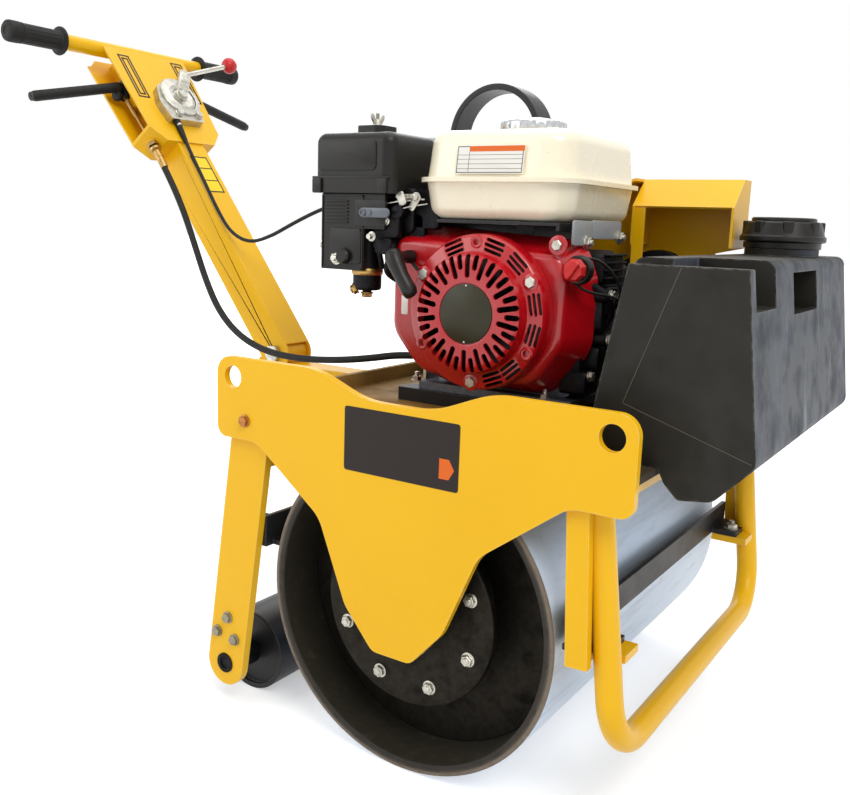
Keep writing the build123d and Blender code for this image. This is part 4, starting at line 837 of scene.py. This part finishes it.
# ---------------- air side
def wing_nut(solid, where):
    solid.lathe(where, [(9, 0), (9, 1.4), (5.4, 2.2), (5, 7), (4, 8.4), (2.6, 8.4)], 20)
    rod = [(2.4, 5)]
    for ring in range(8):
        rod += [(2.4, 8 + ring), (1.9, 8.5 + ring)]
    solid.lathe(where, rod + [(0, 16.4)], 12)
    ways = where.to_3x3()
    ear = [(3, 2), (7, 3.4), (11.5, 8.6), (12.6, 12.6), (10.8, 14.4), (8.2, 12.6), (5.6, 8.4), (3, 7)]
    for side in (-1000, 1000):
        lean = place(ways @ Vector((0, side, 0)), ways @ Vector((0, 0, 1000)), ways @ Vector((side, 0, 0)),
                     where.translation)
        solid.slab(lean, ear, -1.1, 1.1)


CLEANER_FACE = -140  # near face of the air cleaner
COVER_FACE = -136  # near face of the intake cover


def add_air_cleaner():
    low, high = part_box("air_cleaner")
    mid = (low + high) / 2
    box_x, box_y = (mid.x - AXLE.x) * 1000, mid.y * 1000
    nut = Solid()
    wing_nut(nut, top(box_x, box_y, high.z * 1000 - 0.2))
    nut.make("wing_nut", "zinc_steel")

    trim = Solid()
    trim.pad(near(box_x, CLEANER_FACE + 0.6, 623.2), 111, 3, 1, 0, 3, 0.6)
    trim.pad(near(box_x - 6, CLEANER_FACE + 0.4, 648), 84, 34, 6, 0, 1.4, 0.6)
    for x in (-210, -116):
        trim.pad(near(x, CLEANER_FACE - 2, 614), 13, 17, 2, 0, 3.4, 0.8)
    trim.make("air_cleaner_trim", "black_plastic")


def add_intake_cover():
    cover = Solid()
    for i in range(7):
        cover.pad(near(-186, COVER_FACE, 597 - 4 * i), 34, 2, 0.8, -0.3, 1.6, 0.4, steps=2)
    cover.pad(near(-137, COVER_FACE - 1, 584), 44, 30, 3, -0.5, 0.8, 0.4)
    cover.pad(near(-172, COVER_FACE, 546), 46, 40, 4, -0.5, 2, 0.7)
    cover.box_lines(near(0, COVER_FACE, 0), -207, 520, -148, 603, 1.6, 1.2)
    cover.lathe(near(-172, COVER_FACE - 2, 534), [(9, 0), (9, 5), (7, 7), (0, 7)], 24)
    cover.make("intake_cover_ribs", "black_plastic")
    small = Solid()
    small.bolt(near(-185, COVER_FACE, 531), 7, 3)
    behind = place(LEFT, UP, -AHEAD, at(-208.6, -130, 545))
    small.lathe(behind, [(3.4, 0), (3.4, 5), (2.4, 6.5), (0, 6.5)], 16)
    small.make("intake_bolts", "zinc_steel")


# ahead, left, height, length, rise, corner, thickness
CARBURETOR_BLOCKS = [(-118, -122, 571, 34, 28, 5, 10), (-124, -112, 548, 24, 20, 5, 18),
                     (-122, -104, 588, 60, 50, 6, 12), (-92, -96, 590, 60, 44, 6, 14),
                     (-104, -100, 556, 46, 60, 6, 10)]


def add_carburetor():
    choke = Solid()
    choke.pad(near(-127, -141, 584.5), 42, 11, 5.4, 0, 2.6, 0.7)
    choke.lathe(near(-142.5, -143.4, 584.5), [(4.2, 0), (4.2, 2.2), (2.6, 2.2), (2.6, 1), (0, 1)], 24)
    choke.lathe(near(-134, -143.4, 584.5), [(3.6, 0), (3.6, 1.4), (0, 1.4)], 20)
    choke.make("choke_lever", "blue_steel", "grey_paint", crease=50)

    body = Solid()
    body.lathe(near(-104, -124, 586), [(8, 0), (8, 8), (5, 10), (0, 10)], 20)
    body.lathe(top(-128, -126, 556), [(6, 0), (6, 6), (4.5, 8), (4.5, 14), (0, 14)], 20)
    lead = line_at((-120, -118, 560), (-112, -124, 548), (-116, -126, 530), (-124, -120, 515),
                   (-110, -100, 505))
    pipe = line_at((-150, -112, 556), (-140, -126, 552), (-128, -128, 540), (-132, -118, 522))
    body.tube(smooth_line("lead", lead), 5, 14)
    body.tube(smooth_line("pipe", pipe), 3.2, 12)
    for x, y, z, length, rise, corner, thick in CARBURETOR_BLOCKS:
        body.pad(near(x, y, z), length, rise, corner, 0, thick, 2)
    body.make("carburetor_body", "cast_iron", crease=45)
    # painted shadow: a black sheet stands under the fuel tank, behind the shroud's top edge, and darkens the
    # gap there
    shade_sheet = Solid().pad(near(7, -64, 566), 180, 34, 4, 0, 6, 1)
    shade_sheet.make("under_tank_shade_sheet", "black_plastic")


def add_bowl_screws():
    bowl_x, bowl_y = -163, -105
    bowl = Solid()
    bowl.lathe(top(bowl_x, bowl_y, 512), [(17.6, 8), (18.6, 6), (18.6, 2), (17.4, 0)], 32, loop=True)
    bowl.bolt(place(AHEAD, -LEFT, -UP, at(bowl_x, bowl_y, 491.4)), 7)
    slant = Vector((-0.55, -0.62, -0.56)).normalized()
    side_way = slant.orthogonal().normalized()
    drain = at(bowl_x - 9, bowl_y - 10, 496)
    bowl.bolt(place(side_way, slant.cross(side_way), slant, drain), 6.5, 2)
    bowl.make("bowl_screws", "brass", "zinc_steel")


def add_governor():
    links = Solid()
    links.tube(line_at((-124, -131, 594), (-104, -129, 598), (-80, -112, 601)), 1.1, 8)
    links.tube(line_at((-112, -131, 587), (-92, -126, 592), (-76, -112, 596)), 0.8, 8)
    spring = []
    for i in range(96):
        y, z = polar(3, 45 * i)
        spring.append(at(-108 + i * 0.24, -126 + y, 603 + z))
    links.tube(spring, 0.55, 6)
    links.pad(near(-100, -128, 601), 10, 16, 3, 0, 1.6, 0.4, turn=25)
    links.pad(near(-86, -122, 597), 9, 20, 3, 0, 1.6, 0.4, turn=-35)
    links.bolt(near(-84, -122.5, 603), 5)
    links.bolt(near(-118, -132, 576), 5)
    links.lathe(near(-131, -139.5, 558), [(5.6, 0), (5.6, 2), (3, 3), (3, 8), (0, 8)], 20)
    links.make("governor_links", "zinc_steel", crease=45)


# ---------------- switch, brackets and engine castings
def add_switch():
    switch = Solid()
    where = near(115, SHROUD_FACE - 1, 533)
    switch.lathe(where, [(0, 0), (10.5, 0), (12.5, 4), (12, 9), (10, 11.5), (0, 12)], 8, turn=20)
    switch.pad(where, 7, 21, 3, 10.5, 15.5, 1.2, turn=-35)
    switch.make("switch_knob", "red_plastic", bevel=0.8)
    base = Solid()
    base.lathe(where, [(15, -9), (15, -3), (13.5, 0.2), (0, 0.2)], 28)
    wires = [line_at((117, -116, 545), (126, -108, 546), (135, -92, 538), (141, -78, 524), (142, -62, 508),
                     (132, -50, 500)),
             line_at((112, -118, 520), (120, -112, 512), (131, -100, 509), (140, -84, 506), (144, -64, 500),
                     (136, -50, 494))]
    for i, points in enumerate(wires):
        base.tube(smooth_line(f"wire_{i}", points), 1.5, 10)
    base.make("switch_wires", "black_plastic", replaces=("engine_switch",), crease=50)


def add_bracket_ears():
    plates = Solid()
    for left, height, width, rise in ((-82, 570, 46, 26), (-18, 574, 80, 20)):
        plates.pad(front(99, left, height), width, rise, 3, 0, 3, 0.6)
    plates.make("bracket_ears", "grey_paint")
    ear_bolts = Solid()
    for left, height in ((-75, 560), (14, 566)):
        ear_bolts.bolt(front(102, left, height), 7, 3)
    ear_bolts.make("ear_bolts", "zinc_steel")


# left, height, width, rise, from x, to x, corner
CAST_BLOCKS = [(-52, 470, 62, 130, 84, 108, 12), (-44, 532, 56, 34, 88, 124, 8),
               (-60, 486, 30, 44, 100, 126, 10), (-46, 436, 44, 30, 96, 122, 8),
               (-66, 410, 36, 26, 84, 116, 5)]
# left, height, radius, to x: round bosses, each with a screw
CAST_BOSSES = [(-70, 506, 9, 132), (-34, 500, 11, 128), (-62, 458, 8, 130), (-30, 452, 9, 126)]
FOOT_BOLT = (-74, 418, 116)


def add_castings():
    castings = Solid()
    for left, height, width, rise, start, end, corner in CAST_BLOCKS:
        castings.pad(front(0, left, height), width, rise, corner, start, end, 3)
    for i in range(5):
        castings.pad(front(0, -48, 548 - 8 * i), 50, 2.6, 1, 122, 130, 0.8, steps=2)
    for left, height, reach, end in CAST_BOSSES:
        boss = [(reach + 2, 100), (reach, 104), (reach, end - 2), (reach - 2, end), (0, end)]
        castings.lathe(front(0, left, height), boss, 24)
    hose = line_at((104, -78, 520), (128, -80, 512), (134, -66, 494), (126, -58, 474), (112, -60, 462))
    castings.tube(smooth_line("hose", hose), 4, 14)
    castings.make("engine_castings", "cast_iron", "cast_alloy", crease=40)
    case_bolts = Solid()
    for left, height, out in [(left, height, end) for left, height, _, end in CAST_BOSSES] + [FOOT_BOLT]:
        case_bolts.bolt(front(out - 0.4, left, height), 6, turn=height)
    case_bolts.make("casting_bolts", "zinc_steel")


# ---------------- water tank
def add_water_cap():
    low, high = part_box("water_tank_cap")
    mid = (low + high) / 2
    where = place(AHEAD, LEFT, UP, Vector((mid.x, mid.y, low.z)))
    rise = (high.z - low.z) * 1000
    reach = (high.x - low.x) * 500
    cap = Solid()
    # how far in from the widest ring, and the share of the cap's height
    skirt = [(5, 0.2), (1, 0.22), (0.4, 0.26), (0.4, 0.38), (2.4, 0.42), (6, 0.80), (8, 0.85)]
    skirt = [(reach - inset, rise * share) for inset, share in skirt]
    cap.lathe(where, [(reach - 5, 0.2)] + skirt + [(0, rise * 0.85)], 64)
    for i in range(8):
        turn = 45 * i + 20
        x, y = polar(reach - 7.6, turn)
        cap.pad(where, 9, 12, 3, rise * 0.36, rise * 0.86, 1.2, x=x, y=y, turn=turn)
    lid = [(12, 2), (13.5, 0.6), (18, 0.6), (19, 2.6)]
    lid = [(reach - inset, rise - drop) for inset, drop in lid]
    cap.lathe(where, [(reach - 12, rise * 0.83)] + lid + [(0, rise - 3)], 48)
    cap.pad(where, 52, 9, 3, rise - 4, rise - 0.4, 1.2, turn=30)
    cap.make("water_cap_lugs", "black_plastic", replaces=("water_tank_cap",), bevel=0.6)


def add_tank_seams():
    """The mould's parting lines on both side faces of the water tank."""
    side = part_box("water_tank")[1].y * 1000
    seams = Solid()
    for turned, way in ((near, -1), (far, 1)):
        points = [(-way * x, z) for x, z in ((252, 545), (208, 421), (326, 383))]
        for start, end in zip(points, points[1:]):
            seams.bar(turned(0, way * side, 0), start, end, 0.9, 0.5, -0.1)
    seams.make("tank_seams", "tank_seam", "tank_plastic")


# ---------------- handle
BAR_SHIFT, BAR_ALONG, BAR_LIFT = -11, 521, 16  # middle of the handlebar: across, climb, depth
GLAND_ACROSS, GLAND_DEPTH = -56, 6.9  # the drive cable's line
THROTTLE_LINE = -15  # the throttle cable's line, across
HUB_ACROSS, HUB_CLIMB = 10, 425  # middle of the throttle's disc
HEAD_FACE, BEAM_FACE, COVER_BASE = 28, 25, 40  # depth of the upper faces of head, beam and throttle base


def add_grips():
    grips = Solid()
    profile = [(11.4, -0.3), (19, 0), (19.6, 1.2), (19.4, 2.8), (15, 4.6), (13.9, 7), (13.6, 9, 0.7),
               (13.6, 60, 0.7), (13.9, 61.5), (13.9, 64), (13.1, 64.6), (13.1, 67), (14.3, 67.6), (14.3, 79),
               (13.6, 82), (11.4, 83.8), (5.4, 84.2), (4.6, 83.2), (0, 83.2)]
    for side in (-1, 1):
        start, end = (on_handle(BAR_SHIFT + side * reach, BAR_ALONG, BAR_LIFT) for reach in (127, 140))
        grips.lathe(along(start, end), profile, 64)
    grips.make("rubber_grips", "rubber", body="handle", replaces=("handle_grips",), crease=42)


def add_lever_sleeves():
    sleeves = Solid()
    shares = (0, 0.02, 0.04, 0.25, 0.5, 0.75, 0.95, 0.985, 1)
    radii = [6.2, 7, 7.3, 7.3, 7.3, 7.3, 7.3, 6.2, 3.4]
    for side in (-1, 1):
        inner, outer = on_handle(side * 62, 460, 7.7), on_handle(side * 205, 439.5, -16)
        sleeves.tube([inner.lerp(outer, share) for share in shares], radii, 20)
    knob = along(on_handle(-61.5, 452, -1.5), on_handle(-70, 452, -1.5))
    sleeves.lathe(knob, [(0, -1), (6.6, -1), (8, 1), (8.4, 5), (7.4, 7.6), (5, 8.8), (0, 9.2)], 32)
    sleeves.make("lever_sleeves", "rubber", body="lever", crease=50)


def add_drive_gland():
    """The rod from the gland to the travel lever, which stretches between them, and the gland itself."""
    rod = Solid()
    foot, crank = on_handle(GLAND_ACROSS, 353, 7), on_handle(GLAND_ACROSS, 449, 1.8)
    shares = [i / 24 for i in range(25)]
    radii = [2.4 if share < 0.62 else 3.6 for share in shares]
    rod.tube([foot.lerp(crank, share) for share in shares], radii, 14)
    piece = rod.make("lever_rod", "brass", "zinc_steel", body=None, crease=50)
    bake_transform(piece)

    ferrule = Solid()
    down, up = (along(on_handle(GLAND_ACROSS, foot, GLAND_DEPTH), on_handle(GLAND_ACROSS, tip, GLAND_DEPTH))
                for foot, tip in ((349.8, 300), (353.4, 400)))
    ferrule.lathe(down, [(8.5, -0.2), (8.5, 3.6), (5.4, 4.2), (5.4, 13), (6, 13.4), (6, 17), (5.4, 17.4),
                         (5.4, 33), (5, 34)], 24)
    ferrule.lathe(up, [(0, 0), (9, 0), (9, 6), (8, 7), (0, 7)], 6)
    ferrule.make("drive_cable_ferrule", "brass", "zinc_steel", "handle")


def add_throttle():
    boot = Solid()
    way = along(on_handle(THROTTLE_LINE, 384, 34), on_handle(THROTTLE_LINE, 300, 26))
    boot.lathe(way, [(5.2, 0), (5.2, 6), (4.8, 8), (4.2, 24), (3.4, 36), (2.8, 38)], 20)
    boot.make("throttle_boot", "rubber", body="handle", crease=60)

    throttle = Solid()
    throttle.lathe(slope(HUB_ACROSS, HUB_CLIMB, COVER_BASE), [
        (34, 0), (34, 2.6), (33, 3.6), (22, 3.9), (21, 4.5), (19.6, 4.5), (18.6, 3.9), (9, 4),
        (8, 5.2), (0, 5.4)], 48)
    throttle.bolt(slope(HUB_ACROSS, HUB_CLIMB, COVER_BASE + 4.6), 8)
    for across in (-8, 29):
        throttle.bolt(slope(across, 394, COVER_BASE), 6.5)
    arm = degrees(atan2(472 - HUB_CLIMB, 44 - HUB_ACROSS))
    throttle.pad(slope(31, 454, 43.6), 44, 17, 5, 0, 2.4, 0.6, turn=arm)
    for across, climb in ((28, 456), (35, 455)):
        throttle.lathe(slope(across, climb, 45.8), [(2.2, 0), (2.2, 0.8), (1.2, 1), (0, 0.4)], 14)
    cable_end = along(on_handle(THROTTLE_LINE, 381, 34), on_handle(THROTTLE_LINE, 340, 31.7))
    throttle.lathe(cable_end, [(4.6, -2), (4.6, 7), (0, 7)], 16)
    throttle.make("throttle_cover", "zinc_steel", body="handle")
    scores = Solid()
    for start, stop, radius in ((-60, 60, 25), (70, 150, 13)):
        arc = []
        for i in range(17):
            x, y = polar(radius, start + (stop - start) * i / 16)
            arc.append(on_handle(HUB_ACROSS + x, HUB_CLIMB + y, COVER_BASE + 3.9))
        scores.tube(arc, 0.55, 6)
    scores.make("throttle_scores", "cast_iron", "zinc_steel", "handle", crease=60)

    profile = [polar(12.4, 15 * i - 90) for i in range(13)]
    ball = Solid().lathe(slope(138.8, 493.8, 60), profile, 32)
    ball.make("throttle_ball", "red_plastic", body="handle", crease=60)


def add_handle_prints():
    marks = Solid()
    head = slope(0, 0, HEAD_FACE)
    for x0, y0, x1, y1 in ((-56, 428, -38, 504), (-51.5, 433.5, -42.5, 498.5),
                           (46, 432, 66, 508), (51, 437.5, 61, 502.5)):
        marks.box_lines(head, x0, y0, x1, y1, 2.6, 0.3)
    marks.make("head_outlines", "black_film", "black_plastic", "handle")
    beam = slope(0, 0, BEAM_FACE)
    sticker = Solid().slab(beam, oblong(33, 66, 1.5, 0, 294), 0, 0.25)
    sticker.make("beam_sticker", "yellow_film", "yellow_paint", "handle")
    outline = Solid().box_lines(beam, -15.2, 262.6, 15.2, 325.4, 2.2, 0.4)
    for y in (283, 305):
        outline.bar(beam, (-15.2, y), (15.2, y), 1.7, 0.4)
    outline.make("beam_sticker_lines", "black_film", "black_plastic", "handle")


# ---------------- side plate film
def add_side_film():
    face = near(0, -PLATE_FACE, 0)
    film = Solid().slab(face, oblong(138, 67, 3, 4, 356.5), 0, 0.3)
    film.make("side_film", "black_film", "black_plastic")
    accent = [(51, 334), (62, 334), (68, 344), (62, 354), (51, 354)]
    Solid().slab(face, accent, 0.2, 0.5).make("side_film_accent", "orange_film", "red_plastic")


for add_piece in (add_bolts, add_recoil, add_starter_grip, add_fuel_cap, add_tank_panel, add_air_cleaner,
                  add_intake_cover, add_carburetor, add_governor, add_bowl_screws, add_switch,
                  add_bracket_ears, add_castings, add_water_cap, add_tank_seams, add_grips, add_lever_sleeves,
                  add_drive_gland, add_throttle, add_handle_prints, add_side_film):
    add_piece()

# ---------------- stage and light
def seen_directly(tree):
    """One for what the camera, a mirror or a glass sees straight, nought for light on the object."""
    rays = tree.nodes.new("ShaderNodeLightPath").outputs
    seen = rays["Is Camera Ray"]
    for kind in ("Is Glossy Ray", "Is Transmission Ray"):
        either = tree.nodes.new("ShaderNodeMath")
        either.operation = "MAXIMUM"
        tree.links.new(seen, either.inputs[0])
        tree.links.new(rays[kind], either.inputs[1])
        seen = either.outputs[0]
    return seen


FLOOR_HALF = 20  # half of the floor's side, in metres
LIT_FROM, LIT_TO = 0.8, 2.2  # metres from the object, where the floor turns into the white backdrop


def add_floor():
    """A pale floor that keeps the shadow near the object and is seen white further out."""
    look = Look("floor", (0.8, 0.8, 0.8, 1), 1, specular=0)
    look.tint(look.band(look.noise(0.8, 2), 0.3, 0.7, 0, 0.5), (0.82, 0.82, 0.82, 1))
    look.shader.inputs["Emission Color"].default_value = (1, 1, 1, 1)
    away = look.reach(*look.axes()[:2])
    glow = look.times(seen_directly(look.tree), look.band(away, LIT_FROM, LIT_TO, 0.42, 1))
    look.put(look.shader.inputs["Emission Strength"], glow)
    look.done()
    mesh = bpy.data.meshes.new("floor")
    corners = [(sx * FLOOR_HALF, sy * FLOOR_HALF, 0) for sx, sy in ((-1, -1), (1, -1), (1, 1), (-1, 1))]
    mesh.from_pydata(corners, [], [(0, 1, 2, 3)])
    mesh.materials.append(LOOKS["floor"])
    link("floor", mesh)


def add_world():
    """Soft bluish light on the object, and white where the world itself is seen."""
    world = bpy.data.worlds.new("world")
    world.use_nodes = True
    bpy.context.scene.world = world
    tree = world.node_tree
    tree.nodes.clear()
    out = tree.nodes.new("ShaderNodeOutputWorld")
    either = tree.nodes.new("ShaderNodeMixShader")
    tree.links.new(seen_directly(tree), either.inputs[0])
    for socket, colour, strength in ((1, (0.95, 0.97, 1, 1), 0.55), (2, (1, 1, 1, 1), 1)):
        light = tree.nodes.new("ShaderNodeBackground")
        light.inputs[0].default_value = colour
        light.inputs[1].default_value = strength
        tree.links.new(light.outputs[0], either.inputs[socket])
    tree.links.new(either.outputs[0], out.inputs[0])


LIT_POINT = Vector((0, 0, 0.4))  # where every lamp points, in metres


def lamp(name, where, size, power, colour=(1, 1, 1)):
    """A soft rectangular lamp; places in metres, power in watts."""
    data = bpy.data.lights.new(name, "AREA")
    data.shape = "RECTANGLE"
    data.size, data.size_y = size
    data.energy = power
    data.color = colour
    obj = link(name, data)
    obj.location = where
    obj.rotation_mode = "QUATERNION"
    obj.rotation_quaternion = (LIT_POINT - Vector(where)).to_track_quat("-Z", "Y")


add_floor()
add_world()
lamp("key", (2.2, -1.6, 3), (1.6, 1.6), 62, (1, 0.98, 0.94))
lamp("fill", (-2.4, -2.6, 1.8), (2.4, 2), 34)
lamp("top", (0, 0.4, 3.2), (2.4, 2.4), 30)
lamp("back", (-1.5, 2.6, 2.2), (2, 1.6), 22)
